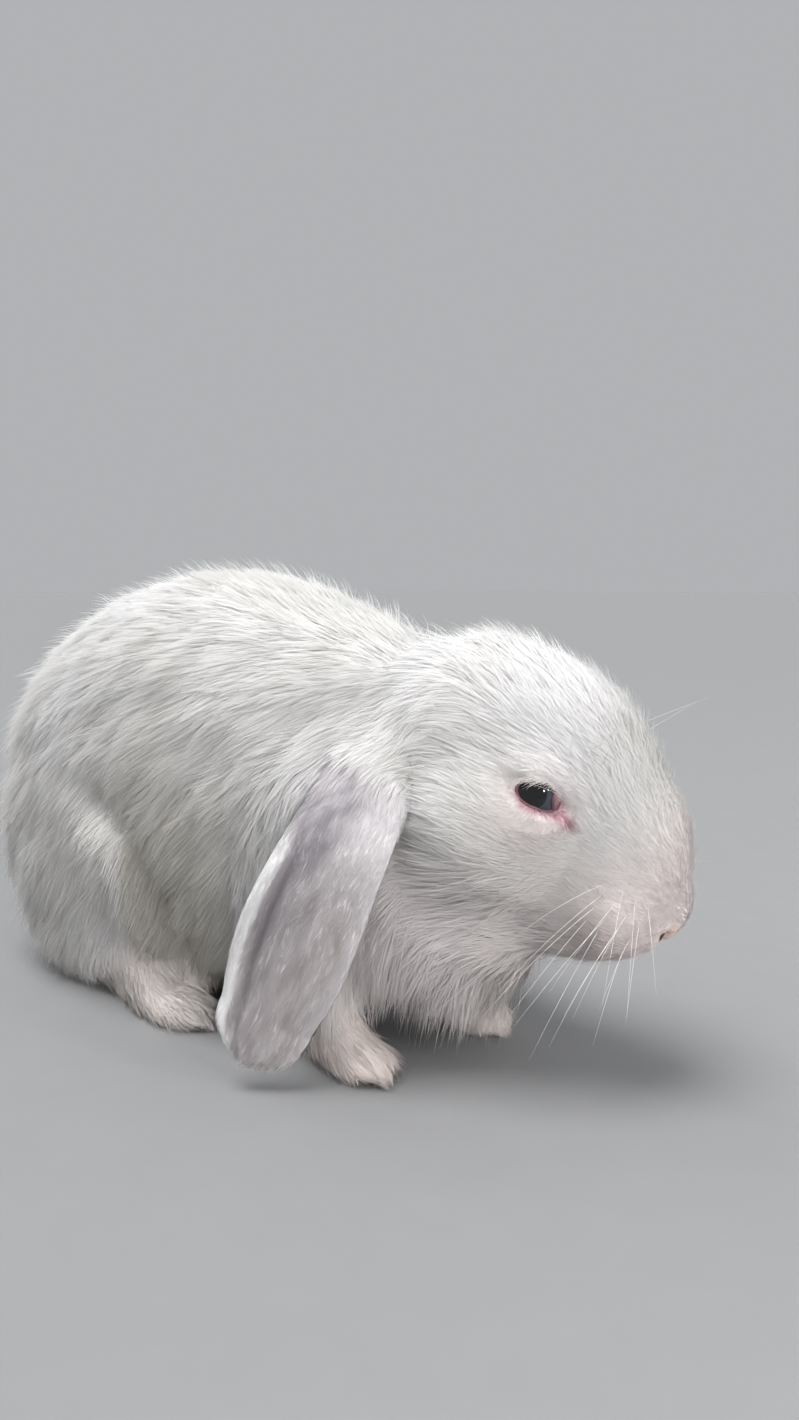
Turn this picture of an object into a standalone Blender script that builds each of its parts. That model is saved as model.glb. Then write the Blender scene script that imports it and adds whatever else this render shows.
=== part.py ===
"""A lop-eared rabbit, life size, crouched with its head low and turned to its left.

Metres, +Z up. The rabbit faces +X, its left side is +Y, and its soles are on Z = 0 with the
origin under the middle of the bounding box. The solids are the shape to the tips of the coat.

The flesh is modelled whole, as overlapping rounded masses that are remeshed into one body, and is
then parted into head, neck, trunk, tail and legs by thin cuts that leave GAP between neighbours.
"""

import math

import bmesh
import bpy
import numpy as np
from mathutils import Matrix, Vector

MM = 0.001

# Driving sizes, in millimetres
GAP = 0.3
EYE_RADIUS = 8.6
EYE_PLACE = (38.0, 22.4, 7.9)

# How finely the body is made: voxel size, smoothing passes and triangles of the whole body,
# rings along a barrel, points around one and how square its rings are
VOXEL = 2.4
SMOOTH_STEPS = 8
WHOLE_TRIANGLES = 2950
BARREL_ROWS = 30
BARREL_COUNT = 40
BARREL_FULLNESS = 2.25

# Clean-up after a cut: needle widths tried, widest first, and the angle that counts as flat
SLIVERS = (0.04, 0.02, 0.01, 0.005, 0.002)
FLAT_ANGLE = 5.0

# The head's own frame: x along the head from poll to nose, y to its left, z towards the crown
HEAD_POLL = (95.6, 3.4, 110.0)
HEAD_TURN = 26.0
HEAD_PITCH = 36.4

# Trunk rings from rump to chest: x, y of the middle, half width, top, bottom
TRUNK_RINGS = (
    (-132, 0, 22, 96, 54),
    (-119, 0, 44, 117, 26),
    (-92, 0, 60, 139, 8),
    (-52, 0, 66, 156, 3),
    (-12, 0, 64, 162, 3),
    (28, 0, 57, 157, 6),
    (62, 1, 47, 147, 12),
    (88, 3, 39, 138, 17),
    (106, 6, 31, 123, 26),
    (118, 9, 19, 98, 40),
)

# Head rings from poll to nose in the head's frame: x, half width, top, bottom
HEAD_RINGS = (
    (-20, 17, 23, -18),
    (-2, 28, 38, -30),
    (18, 31, 43.5, -36),
    (36, 29, 44.5, -38),
    (52, 25, 40, -38.5),
    (66, 22, 32, -37.5),
    (80, 19, 22.5, -31.5),
    (90, 14.5, 12, -19.5),
    (96.5, 8, 4.5, -8),
)

# Rounded masses of one side in the head's frame: centre and radii, mirrored to the other side
HEAD_MASSES = (
    ((30, 19, -16), (28, 20, 23)),
    ((77.5, 12, -9.5), (14, 12, 13)),
    ((31, 20, 19), (14, 8, 6)),
)

# Rounded masses of one side of the body: thigh, the coat hanging below it, and shoulder
BODY_MASSES = (
    ((-60, 41, 58), (56, 27, 58)),
    ((-58, 46, 22), (43, 17, 20)),
    ((66, 30, 72), (30, 20, 42)),
)

# Single masses on the middle line: chest and rump
MIDDLE_MASSES = (
    ((97, 11, 50), (32, 33, 36)),
    ((-89, 0, 68), (45, 56, 61)),
)

# Limbs: points down the limb with a half width and a half height at each
FORELEG = (((68, 30, 54), 14, 14), ((74, 28, 28), 11, 11), ((77, 27, 14), 9.5, 9.5))
FORE_PAW = (((72, 27, 8.5), 8.5, 10), ((83, 27, 6.5), 9.5, 9.5), ((92, 27, 5), 9, 8))
HIND_FOOT = (
    ((-70, 37, 10), 11, 13),
    ((-38, 39, 9), 11, 12),
    ((0, 44, 7.5), 11.5, 11),
    ((16, 43, 5.5), 10.5, 8.5),
)
TAIL = (((-124, 0, 54), 13, 12), ((-134, 0, 68), 17, 13), ((-136, 0, 86), 15, 12))
LEFT_PAW_LEAD = 3.0

# Ears: points down the middle line with a half width and a half thickness at each
RIGHT_EAR = (
    ((106, -14, 119), 8, 6),
    ((103.5, -27, 111), 10.5, 5),
    ((100.5, -35.5, 95), 14, 3),
    ((92.5, -45, 71), 16.5, 2.2),
    ((83.5, -52, 44), 18.5, 2.1),
    ((75.5, -56, 20), 14, 2.0),
    ((73.5, -57, 8), 7.5, 1.8),
)
LEFT_EAR = (
    ((90, 20, 119), 8, 6),
    ((87, 35, 111), 10.5, 5),
    ((85.5, 46, 95.5), 14, 3),
    ((77.5, 54, 71), 16.5, 2.2),
    ((70.5, 58, 44), 18.5, 2.1),
    ((66, 60, 20), 14, 2.0),
    ((66, 60, 8), 7.5, 1.8),
)
RIGHT_EAR_FACING = -58.0
LEFT_EAR_FACING = 92.0
EAR_ROWS = 16
EAR_HALF_COUNT = 11
EAR_CUP = 0.34
EAR_RIM = 0.26
EAR_RIM_START = 0.6

# Parting cuts, in the order they are made: ellipsoid centre and radii, one side's mirrored
TAIL_CUT = ((-150, 0, 74), (24, 26, 36))
HIND_FOOT_CUT = ((-25, 40, 4), (61, 18, 19))
THIGH_CUT = ((-58, 62, 56), (56, 34, 64))
FORE_PAW_CUT = ((83, 27, 4), (22, 15, 17))
FORELEG_CUT = ((72, 42, 48), (25, 27, 52))
HEAD_CUT = ((45, 0, 2), (62, 62, 50))
NECK_CUT = ((100, 4, 98), (38, 54, 52))
SMALL_CUT = 50.0


def clear_scene():
    for item in list(bpy.data.objects):
        bpy.data.objects.remove(item, do_unlink=True)


def material(name, colour, roughness=0.9, metallic=0.0):
    made = bpy.data.materials.new(name)
    made.use_nodes = True
    shader = made.node_tree.nodes["Principled BSDF"]
    shader.inputs["Base Color"].default_value = (*colour, 1.0)
    shader.inputs["Roughness"].default_value = roughness
    shader.inputs["Metallic"].default_value = metallic
    made.diffuse_color = (*colour, 1.0)
    return made


def head_frame():
    """Head coordinates in millimetres to world metres."""
    turn = Matrix.Rotation(math.radians(HEAD_TURN), 4, "Z")
    pitch = Matrix.Rotation(math.radians(HEAD_PITCH), 4, "Y")
    return Matrix.Scale(MM, 4) @ Matrix.Translation(HEAD_POLL) @ turn @ pitch


def mirrored(point, sign):
    return Vector((point[0], abs(point[1]) * sign, point[2]))


def add_ellipsoid(solid, frame, centre, radii, fineness=4):
    place = frame @ Matrix.Translation(centre) @ Matrix.Diagonal((*radii, 1.0))
    bmesh.ops.create_icosphere(solid, subdivisions=fineness, radius=1.0, matrix=place)


def add_loft(whole, rings):
    """Closed skin over rings of equal count, each end closed by a fan on its own middle."""
    loops = [[whole.verts.new(point) for point in ring] for ring in rings]
    count = len(loops[0])
    for near, far in zip(loops, loops[1:]):
        for i in range(count):
            j = (i + 1) % count
            whole.faces.new((near[i], near[j], far[j], far[i]))
    first = whole.verts.new(sum((v.co for v in loops[0]), Vector()) / count)
    last = whole.verts.new(sum((v.co for v in loops[-1]), Vector()) / count)
    for i in range(count):
        j = (i + 1) % count
        whole.faces.new((first, loops[0][j], loops[0][i]))
        whole.faces.new((last, loops[-1][i], loops[-1][j]))


def smooth_rows(rows, count):
    """Catmull-Rom curve through rows of numbers, evenly read at count places."""
    rows = np.asarray(rows, dtype=float)
    padded = np.vstack((2 * rows[0] - rows[1], rows, 2 * rows[-1] - rows[-2]))
    places = np.linspace(0, len(rows) - 1, count)
    start = np.minimum(places.astype(int), len(rows) - 2)
    t = (places - start)[:, None]
    p0, p1, p2, p3 = (padded[start + shift] for shift in range(4))
    return 0.5 * (2 * p1 + (p2 - p0) * t + (2 * p0 - 5 * p1 + 4 * p2 - p3) * t**2
                  + (3 * p1 - p0 - 3 * p2 + p3) * t**3)


def rounded_ring(width, top, bottom):
    """Superellipse across the body: half width to the sides, top and bottom heights."""
    turns = np.linspace(0, 2 * math.pi, BARREL_COUNT, endpoint=False)
    side = np.sign(np.cos(turns)) * np.abs(np.cos(turns)) ** (2 / BARREL_FULLNESS)
    rise = np.sign(np.sin(turns)) * np.abs(np.sin(turns)) ** (2 / BARREL_FULLNESS)
    middle = (top + bottom) / 2
    return side * width, middle + rise * (top - bottom) / 2


def add_barrel(whole, frame, rows):
    """Loft of rounded rings across x, each row being x, y, half width, top, bottom."""
    rings = []
    for x, y, width, top, bottom in smooth_rows(rows, BARREL_ROWS):
        side, rise = rounded_ring(width, top, bottom)
        rings.append([frame @ Vector((x, y - s, r)) for s, r in zip(side, rise)])
    add_loft(whole, rings)


def add_limb(whole, frame, points, sign=0, shift=0.0):
    """Rounded limb along its points, with round ends of its own half width and height."""
    rows = [(x + shift, abs(y) * sign, z, wide, high) for (x, y, z), wide, high in points]
    for x, y, z, wide, high in smooth_rows(rows, 3 * len(rows)):
        add_ellipsoid(whole, frame, (x, y, z), (max(wide, high), wide, high))


def mesh_object(name, solid):
    mesh = bpy.data.meshes.new(name)
    solid.to_mesh(mesh)
    solid.free()
    made = bpy.data.objects.new(name, mesh)
    bpy.context.collection.objects.link(made)
    return made


def copy_object(item, name):
    made = item.copy()
    made.data = item.data.copy()
    made.name = name
    bpy.context.collection.objects.link(made)
    return made


def settle(item):
    """Replace an object's mesh by its evaluated one and drop the modifiers."""
    graph = bpy.context.evaluated_depsgraph_get()
    mesh = bpy.data.meshes.new_from_object(item.evaluated_get(graph))
    item.modifiers.clear()
    item.data = mesh
    return item


def triangle_count(item):
    return sum(len(face.vertices) - 2 for face in item.data.polygons)


def whole_body():
    """All the flesh as one closed, smoothed body with its soles cut level at Z = 0."""
    body = bmesh.new()
    world = Matrix.Scale(MM, 4)
    head = head_frame()
    add_barrel(body, world, TRUNK_RINGS)
    add_barrel(body, head, [(x, 0, width, top, bottom) for x, width, top, bottom in HEAD_RINGS])
    for centre, radii in MIDDLE_MASSES:
        add_ellipsoid(body, world, centre, radii)
    for sign in (-1, 1):
        for centre, radii in BODY_MASSES:
            add_ellipsoid(body, world, mirrored(centre, sign), radii)
        for centre, radii in HEAD_MASSES:
            add_ellipsoid(body, head, mirrored(centre, sign), radii)
        lead = LEFT_PAW_LEAD if sign > 0 else 0.0
        add_limb(body, world, FORELEG, sign, lead)
        add_limb(body, world, FORE_PAW, sign, lead)
        add_limb(body, world, HIND_FOOT, sign)
    add_limb(body, world, TAIL)
    whole = mesh_object("whole", body)
    remesh = whole.modifiers.new("one_body", "REMESH")
    remesh.mode = "VOXEL"
    remesh.voxel_size = VOXEL * MM
    smooth = whole.modifiers.new("soften", "SMOOTH")
    smooth.iterations = SMOOTH_STEPS
    settle(whole)
    thin = whole.modifiers.new("thin_out", "DECIMATE")
    thin.ratio = WHOLE_TRIANGLES / triangle_count(whole)
    settle(whole)
    cut_level(whole)
    return whole


def cut_level(item):
    """Cut away what is below Z = 0 and close the cut with flat soles."""
    solid = bmesh.new()
    solid.from_mesh(item.data)
    every = solid.verts[:] + solid.edges[:] + solid.faces[:]
    cut = bmesh.ops.bisect_plane(solid, geom=every, dist=1e-6, plane_co=(0, 0, 0),
                                 plane_no=(0, 0, 1), clear_inner=True)
    rim = [part for part in cut["geom_cut"] if isinstance(part, bmesh.types.BMEdge)]
    bmesh.ops.holes_fill(solid, edges=rim, sides=0)
    solid.to_mesh(item.data)
    solid.free()
    tidy(item)


def open_edges(solid):
    return sum(len(edge.link_faces) != 2 for edge in solid.edges)


def tidy(item):
    """Weld needle-thin triangles away where the body stays closed, and keep its largest piece."""
    for sliver in SLIVERS:
        solid = bmesh.new()
        solid.from_mesh(item.data)
        bmesh.ops.dissolve_limit(solid, angle_limit=math.radians(FLAT_ANGLE),
                                 verts=solid.verts[:], edges=solid.edges[:])
        bmesh.ops.triangulate(solid, faces=solid.faces[:])
        bmesh.ops.dissolve_degenerate(solid, dist=sliver * MM, edges=solid.edges[:])
        bmesh.ops.triangulate(solid, faces=solid.faces[:])
        pieces = loose_pieces(solid)
        largest = max(pieces, key=len)
        spare = [vert for piece in pieces if piece is not largest for vert in piece]
        bmesh.ops.delete(solid, geom=spare, context="VERTS")
        closed = open_edges(solid) == 0
        if closed:
            solid.to_mesh(item.data)
        solid.free()
        if closed:
            return


def loose_pieces(solid):
    """Sets of vertices, one for each piece of the mesh that hangs together."""
    left = set(solid.verts)
    pieces = []
    while left:
        start = left.pop()
        piece = {start}
        front = [start]
        while front:
            for edge in front.pop().link_edges:
                for vert in edge.verts:
                    if vert in left:
                        left.remove(vert)
                        piece.add(vert)
                        front.append(vert)
        pieces.append(piece)
    return pieces


def ellipsoid_object(name, frame, centre, radii, grow=0.0):
    """Ellipsoid with its radii grown, coarser where it is small."""
    solid = bmesh.new()
    fineness = 2 if EYE_RADIUS < max(radii) < SMALL_CUT else 3
    add_ellipsoid(solid, frame, centre, [radius + grow for radius in radii], fineness)
    return mesh_object(name, solid)


def boolean(item, cutter, operation):
    cut = item.modifiers.new("part", "BOOLEAN")
    cut.operation = operation
    cut.object = cutter
    settle(item)
    tidy(item)
    bpy.data.objects.remove(cutter, do_unlink=True)


def part_off(name, rest, frame, cut, sign=0):
    """Take what lies inside an ellipsoid off the rest as a node, leaving GAP between them."""
    centre, radii = cut
    centre = mirrored(centre, sign) if sign else centre
    node = copy_object(rest, name)
    boolean(node, ellipsoid_object("cutter", frame, centre, radii), "INTERSECT")
    boolean(rest, ellipsoid_object("cutter", frame, centre, radii, GAP), "DIFFERENCE")
    return node


def ear_solid(name, rows, facing):
    """Leaf with two faces, cupped across its width, its rear edge rolled outwards as a rim.

    Each ring runs over the outer face from the rear edge to the front one and back inside.
    """
    rows = smooth_rows([(*point, wide, thick) for point, wide, thick in rows], EAR_ROWS)
    middle = rows[:, :3]
    along = np.gradient(middle, axis=0)
    along /= np.linalg.norm(along, axis=1, keepdims=True)
    facing = math.radians(facing)
    outward = np.array((math.cos(facing), math.sin(facing), 0.0))
    front = np.cross(along, outward)
    front /= np.linalg.norm(front, axis=1, keepdims=True)
    front *= np.sign(front[:, :1])
    away = np.cross(front, along)
    away *= np.sign(away @ outward)[:, None]
    around = np.linspace(0, 2 * math.pi, 2 * EAR_HALF_COUNT, endpoint=False)
    across = -np.cos(around)
    roll = np.clip((-across - EAR_RIM_START) / (1 - EAR_RIM_START), 0, 1) ** 2
    rings = []
    for centre, side, out, (wide, thick) in zip(middle, front, away, rows[:, 3:]):
        lift = np.sin(around) * thick - EAR_CUP * wide * across**2 + EAR_RIM * wide * roll
        shape = centre + np.outer(across * wide, side) + np.outer(lift, out)
        rings.append([Vector(point) * MM for point in shape])
    ear = bmesh.new()
    add_loft(ear, rings)
    bmesh.ops.recalc_face_normals(ear, faces=ear.faces[:])
    return mesh_object(name, ear)


def grown_copy(item, name):
    """A copy swollen by GAP along its normals, to cut a neighbour with."""
    made = copy_object(item, name)
    swell = made.modifiers.new("swell", "DISPLACE")
    swell.mid_level = 0.0
    swell.strength = GAP * MM
    return settle(made)


def centre_on_floor(items):
    """Move every mesh so that the bounding box's middle is over the origin."""
    xs = [vertex.co.x for item in items for vertex in item.data.vertices]
    ys = [vertex.co.y for item in items for vertex in item.data.vertices]
    shift = Vector((-(min(xs) + max(xs)) / 2, -(min(ys) + max(ys)) / 2, 0))
    for item in items:
        item.data.transform(Matrix.Translation(shift))


def main():
    clear_scene()
    coat = material("white_coat", (0.83, 0.8, 0.78))
    paw_coat = material("cream_paw", (0.8, 0.68, 0.58))
    ear_coat = material("lilac_ear", (0.62, 0.59, 0.62))
    eye_wet = material("dark_eye", (0.03, 0.035, 0.05), roughness=0.08)
    world = Matrix.Scale(MM, 4)
    head = head_frame()

    rest = whole_body()
    swollen = grown_copy(rest, "swollen")
    nodes = [part_off("tail", rest, world, TAIL_CUT)]
    for side, sign in (("right", -1), ("left", 1)):
        lead = Matrix.Translation((LEFT_PAW_LEAD * MM if sign > 0 else 0.0, 0, 0)) @ world
        foot = part_off("hind_foot_" + side, rest, world, HIND_FOOT_CUT, sign)
        thigh = part_off("hind_leg_" + side, rest, world, THIGH_CUT, sign)
        paw = part_off("fore_paw_" + side, rest, lead, FORE_PAW_CUT, sign)
        leg = part_off("fore_leg_" + side, rest, lead, FORELEG_CUT, sign)
        nodes += [foot, thigh, paw, leg]
    skull = part_off("head", rest, head, HEAD_CUT)
    nodes += [skull, part_off("neck", rest, world, NECK_CUT)]
    rest.name = "trunk"
    nodes.append(rest)

    for name, rows, facing in (("ear_right", RIGHT_EAR, RIGHT_EAR_FACING),
                               ("ear_left", LEFT_EAR, LEFT_EAR_FACING)):
        ear = ear_solid(name, rows, facing)
        boolean(ear, copy_object(swollen, "cutter"), "DIFFERENCE")
        nodes.append(ear)
    bpy.data.objects.remove(swollen, do_unlink=True)

    for side, sign in (("right", -1), ("left", 1)):
        place = mirrored(EYE_PLACE, sign)
        radii = (EYE_RADIUS, EYE_RADIUS, EYE_RADIUS)
        boolean(skull, ellipsoid_object("cutter", head, place, radii, GAP), "DIFFERENCE")
        nodes.append(ellipsoid_object("eye_" + side, head, place, radii))

    finishes = {"ear": ear_coat, "eye": eye_wet, "fore_paw": paw_coat, "hind_foot": paw_coat}
    for node in nodes:
        node.data.materials.clear()
        kind = next((key for key in finishes if node.name.startswith(key)), None)
        node.data.materials.append(finishes.get(kind, coat))
        node.data.shade_smooth()
    centre_on_floor(nodes)


main()
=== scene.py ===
import math

import bmesh
import bpy
import numpy as np
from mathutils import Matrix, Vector
from mathutils.bvhtree import BVHTree


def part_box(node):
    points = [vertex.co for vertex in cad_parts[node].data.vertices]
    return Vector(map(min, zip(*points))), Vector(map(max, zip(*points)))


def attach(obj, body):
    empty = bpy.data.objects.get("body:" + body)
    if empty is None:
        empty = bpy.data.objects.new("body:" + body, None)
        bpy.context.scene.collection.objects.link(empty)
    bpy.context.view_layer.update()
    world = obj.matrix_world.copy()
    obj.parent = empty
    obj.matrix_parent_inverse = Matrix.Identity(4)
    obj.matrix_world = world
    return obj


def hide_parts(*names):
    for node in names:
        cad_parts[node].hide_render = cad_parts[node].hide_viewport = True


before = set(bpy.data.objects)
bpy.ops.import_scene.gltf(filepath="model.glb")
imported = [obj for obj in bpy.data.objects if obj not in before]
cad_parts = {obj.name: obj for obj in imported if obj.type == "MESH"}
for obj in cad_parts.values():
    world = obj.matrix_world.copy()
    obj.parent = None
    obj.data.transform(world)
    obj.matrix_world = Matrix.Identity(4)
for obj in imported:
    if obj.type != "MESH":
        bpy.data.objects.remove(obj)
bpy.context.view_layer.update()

# A still, life-size white lop rabbit: one skin under a coat of fine tapered hairs in two layers,
# wet eyes between shaped lids, lashes, whiskers and claws. Places are in metres, and sizes that
# are named below are in millimetres unless their comment says otherwise.
MM = 0.001

# Camera: place, heading from +X, downward tilt and a lens on a 36 mm high sensor
CAMERA_PLACE = (0.3211, -0.2436, 0.155)
CAMERA_HEADING = 136.0
CAMERA_TILT = 6.68
CAMERA_LENS = 27.05

# Lamps: kind, name, place, power, width in metres or a sun's spread in degrees, and colour
LAMPS = (("SUN", "key", (-0.04, -0.46, 1.75), 3.05, 30, (1.0, 0.995, 0.99)),
         ("SUN", "rear_fill", (-1.0, -0.25, 0.7), 1.6, 60, (0.96, 0.98, 1.0)),
         ("SUN", "side_fill", (1.0, -0.4, 0.02), 2.3, 60, (1.0, 0.98, 0.965)),
         ("SUN", "left_fill", (-0.25, 1.0, 0.22), 0.9, 70, (0.96, 0.98, 1.0)),
         ("AREA", "catch_light", (1.07, -0.233, 0.61), 2.4, 0.11, (1, 1, 1)),
         ("AREA", "catch_light_second", (1.083, 0.204, 0.60), 2.4, 0.11, (1, 1, 1)))
SKY_COLOUR = (0.93, 0.95, 0.98, 1)
SKY_STRENGTH = 0.47

# The nodes that the one skin stands for, body first and ears last
FLESH = ("head", "neck", "trunk", "tail", "fore_leg_right", "fore_leg_left", "fore_paw_right",
         "fore_paw_left", "hind_leg_right", "hind_leg_left", "hind_foot_right",
         "hind_foot_left", "ear_right", "ear_left")
EYES = ("eye_right", "eye_left")
BODY = FLESH[:12]
FEET = FLESH[6:8] + FLESH[10:12]
SIDES = ("right", "left")

# The head's frame: x from poll to nose, y to its left, z to the crown; each eye's place in it
HEAD_PITCH = 36.4
EYE_AHEAD = 38.0
EYE_ABOVE = 7.9

# Lid opening: how far it reaches along the eyeball from its middle at each eighth of a turn,
# from the nose end over the top; its slit's rise; the tear line's two ends beside the slit; and
# the angles from the eye's axis where the pupil ends, the iris darkens and the iris ends
LID_REACH = (7.2, 5.4, 3.8, 3.9, 6.4, 4.5, 3.3, 4.2)
LID_RISE = 0.16
TEAR_LINE = ((7.6, -1.6), (15.0, -3.2))
PUPIL_EDGE = (29, 32)
IRIS_RING = (50, 57)
IRIS_EDGE = (57, 60)

# Skin: voxel size of the body, the ears' rounded end and how far it stops short of the solid's,
# and the coat's depth over each part, in millimetres
SKIN_VOXEL = 1.75
EAR_TIP = 16.0
EAR_CUT = 2.5
COAT_DEPTH = {"head": 2.6, "neck": 4.5, "trunk": 4.6, "tail": 5.5, "fore_leg": 4.0, "fore_paw": 1.6,
              "hind_leg": 4.6, "hind_foot": 2.4, "ear": 0.0}

# The coat's two layers over each part: hair length in millimetres and hairs for each square
# millimetre. Underfur is short, fine and close; guard hairs are long and lie over it in locks.
UNDERFUR = {"head": (5.0, 4.2), "neck": (10.0, 2.4), "trunk": (11.0, 1.33), "tail": (11.0, 1.5),
            "fore_leg": (9.0, 1.6), "fore_paw": (4.2, 4.2), "hind_leg": (11.0, 1.6),
            "hind_foot": (7.0, 2.6), "ear": (3.2, 4.2)}
GUARD_HAIR = {"head": (8.0, 1.5), "neck": (16.0, 1.2), "trunk": (17.0, 0.95), "tail": (17.0, 0.9),
              "fore_leg": (14.0, 0.9), "fore_paw": (6.0, 2.2), "hind_leg": (17.0, 0.95),
              "hind_foot": (11.0, 1.4), "ear": (3.6, 0.0)}

# How each layer is laid: size of a lock in millimetres and how far it strays from the lie; lift
# at the root and droop at the tip in degrees; width against HAIR_WIDTH; pull of the tips to their
# lock; unevenness of the shading; tone and its variation; share of hairs that fly away; and how
# much whole locks stand up. HAIR_WIDTH is far wider than real hair, so that the coat closes.
HAIR_WIDTH = 0.25
UNDERFUR_LOOKS = {"lock": 4.0, "stray": 0.07, "lift": 22, "droop": 5, "width": 2.1, "pull": 0.15,
                  "rough": 0.04, "tone": 1.0, "vary": 0.012, "fly": 0.0, "stand": 0.0}
GUARD_LOOKS = {"lock": 6.5, "stray": 0.09, "lift": 23, "droop": 8, "width": 0.8, "pull": 0.36,
               "rough": 0.07, "tone": 1.03, "vary": 0.02, "fly": 0.08, "stand": 0.28}

# Where along a hair its corners stand, from root to tip; the most triangles that one piece of the
# coat may have; and the share of the unwrapped skin's width that a hair's patch takes
UNDERFUR_LEVELS = (0, 0.5, 1)
GUARD_LEVELS = (0, 0.3, 0.65, 1)
MOST_TRIANGLES = 190000
UV_PATCH = 0.003

# Whiskers: rows and columns on a pad, the first one's place ahead and above in the head's frame,
# the gap between them, about how long the front ones are, and their radius
WHISKER_ROWS = 4
WHISKER_START = (83, 1.0)
WHISKER_GAP = 4.4
WHISKER_LENGTH = 26
WHISKER_RADIUS = 0.06

# The long hairs over each eye: places ahead and above, length, and lean forwards
BROW_HAIRS = ((47, 26, 33, 0.25), (43, 28, 37, 0.4), (38, 24, 22, 0.1))

# Lid rims and lashes: radii, lengths, and the one long lash of each eye
RIM_RADIUS = 0.24
LASH_COUNT = 150
LASH_RADIUS = 0.043
LASH_LENGTHS = (2.4, 5.0)
LONG_LASH = 19.0

# Toes from one side of a foot to the other, and the claws' radius, gap, height and reach
TOES = (-1.5, -0.5, 0.5, 1.5)
CLAW_RADIUS = 0.65
CLAW_GAP = 4.4
CLAW_HEIGHT = 3.2
CLAW_REACH = {"fore_paw": 1.6, "hind_foot": 3.0}

# Which way the hair lies on the parts where one direction does for the whole part
PART_LIE = {"hind_leg": (-0.55, 0.0, -1.0), "tail": (-0.2, 0.0, 1.0), "fore_leg": (-0.15, 0.0, -1.0),
            "fore_paw": (0.9, 0.0, -0.45), "hind_foot": (1.0, 0.0, -0.3)}

# Where the trunk's coat is parted into front and rear pieces, in metres
TRUNK_SPLIT = -0.03

# Forms drawn into the skin: a toe's width, groove and fuller side; where the thigh's front edge
# crosses the flank, the valley in front of it and the swell behind; and the coat's tufts
TOE_WIDTH = 4.6
TOE_GROOVE = 2.3
TOE_SIDE = 1.5
HAUNCH_EDGE = -4.0
FLANK_VALLEY = 5.6
THIGH_SWELL = 2.6
TUFT_SIZES = (15, 8)
TUFT_HEIGHT = 0.9


# ---------------------------------------------------------------- small tools
def linear(code):
    """sRGB hex to linear red, green and blue."""
    parts = np.array([int(code[i:i + 2], 16) for i in (1, 3, 5)]) / 255
    return np.where(parts <= 0.04045, parts / 12.92, ((parts + 0.055) / 1.055) ** 2.4)


def unit(rows):
    """Each row brought to length 1."""
    rows = np.asarray(rows, dtype=float)
    return rows / np.maximum(np.linalg.norm(rows, axis=-1, keepdims=True), 1e-12)


def ramp(values, start, end):
    """0 below start, 1 above end, and a smooth step between; start may be the larger."""
    t = np.clip((np.asarray(values, dtype=float) - start) / (end - start), 0, 1)
    return t * t * (3 - 2 * t)


def ramp_line(values, start, end):
    """0 below start, 1 above end, and a straight slope between."""
    return np.clip((values - start) / (end - start), 0, 1)


def mix_values(a, b, share):
    """Single values of a and b mixed by a share: a at 0, b at 1."""
    return a * (1 - share) + b * share


def mix(a, b, share):
    """Rows of a and b, such as colours or directions, mixed by a share for each row."""
    share = np.asarray(share, dtype=float)[..., None]
    return a * (1 - share) + b * share


def flat_on(rows, normals):
    """Directions with what points along the normals taken away, brought to length 1."""
    return unit(rows - normals * np.sum(rows * normals, axis=1, keepdims=True))


def add_object(name, mesh, material=None):
    """A new object in the scene, at the origin, that shows a mesh in a material."""
    made = bpy.data.objects.new(name, mesh)
    bpy.context.scene.collection.objects.link(made)
    if material:
        mesh.materials.append(material)
    return made


def settle(item):
    """Evaluate an object's modifiers into its mesh."""
    graph = bpy.context.evaluated_depsgraph_get()
    mesh = bpy.data.meshes.new_from_object(item.evaluated_get(graph))
    item.modifiers.clear()
    old = item.data
    item.data = mesh
    bpy.data.meshes.remove(old)
    return item


def read(items, field, width, kind=np.float32):
    """One field of a mesh's items as an array, with width numbers to a row."""
    flat = np.empty(len(items) * width, kind)
    items.foreach_get(field, flat)
    return flat.reshape(-1, width)


def points_of(mesh):
    """Where the vertices are, as rows of x, y and z."""
    return read(mesh.vertices, "co", 3).astype(float)


def set_points(mesh, points):
    """Move the vertices to new places."""
    mesh.vertices.foreach_set("co", np.asarray(points, np.float32).ravel())
    mesh.update()


def normals_of(mesh):
    """The vertices' normals, as rows of x, y and z."""
    return read(mesh.vertex_normals, "vector", 3).astype(float)


def triangles_of(mesh):
    """The mesh cut into triangles, as rows of three vertices."""
    mesh.calc_loop_triangles()
    return read(mesh.loop_triangles, "vertices", 3, np.int32)


def spread(mesh, values, rounds, share=0.5):
    """Average each vertex's value with its neighbours', over and over."""
    i, j = read(mesh.edges, "vertices", 2, np.int32).T
    count = len(mesh.vertices)
    degree = np.bincount(i, minlength=count) + np.bincount(j, minlength=count)
    values = np.array(values, dtype=float)
    columns = values.reshape(count, -1)
    for _ in range(rounds):
        for c in range(columns.shape[1]):
            near = np.bincount(i, columns[j, c], count) + np.bincount(j, columns[i, c], count)
            columns[:, c] += share * (near / np.maximum(degree, 1) - columns[:, c])
    return columns.reshape(values.shape)


def set_colours(mesh, colours):
    """Store a linear colour for each vertex, which the materials read as coat_colour."""
    layer = mesh.attributes.new("coat_colour", "FLOAT_COLOR", "POINT")
    full = np.ones((len(mesh.vertices), 4), np.float32)
    full[:, :3] = colours
    layer.data.foreach_set("color", full.ravel())


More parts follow.
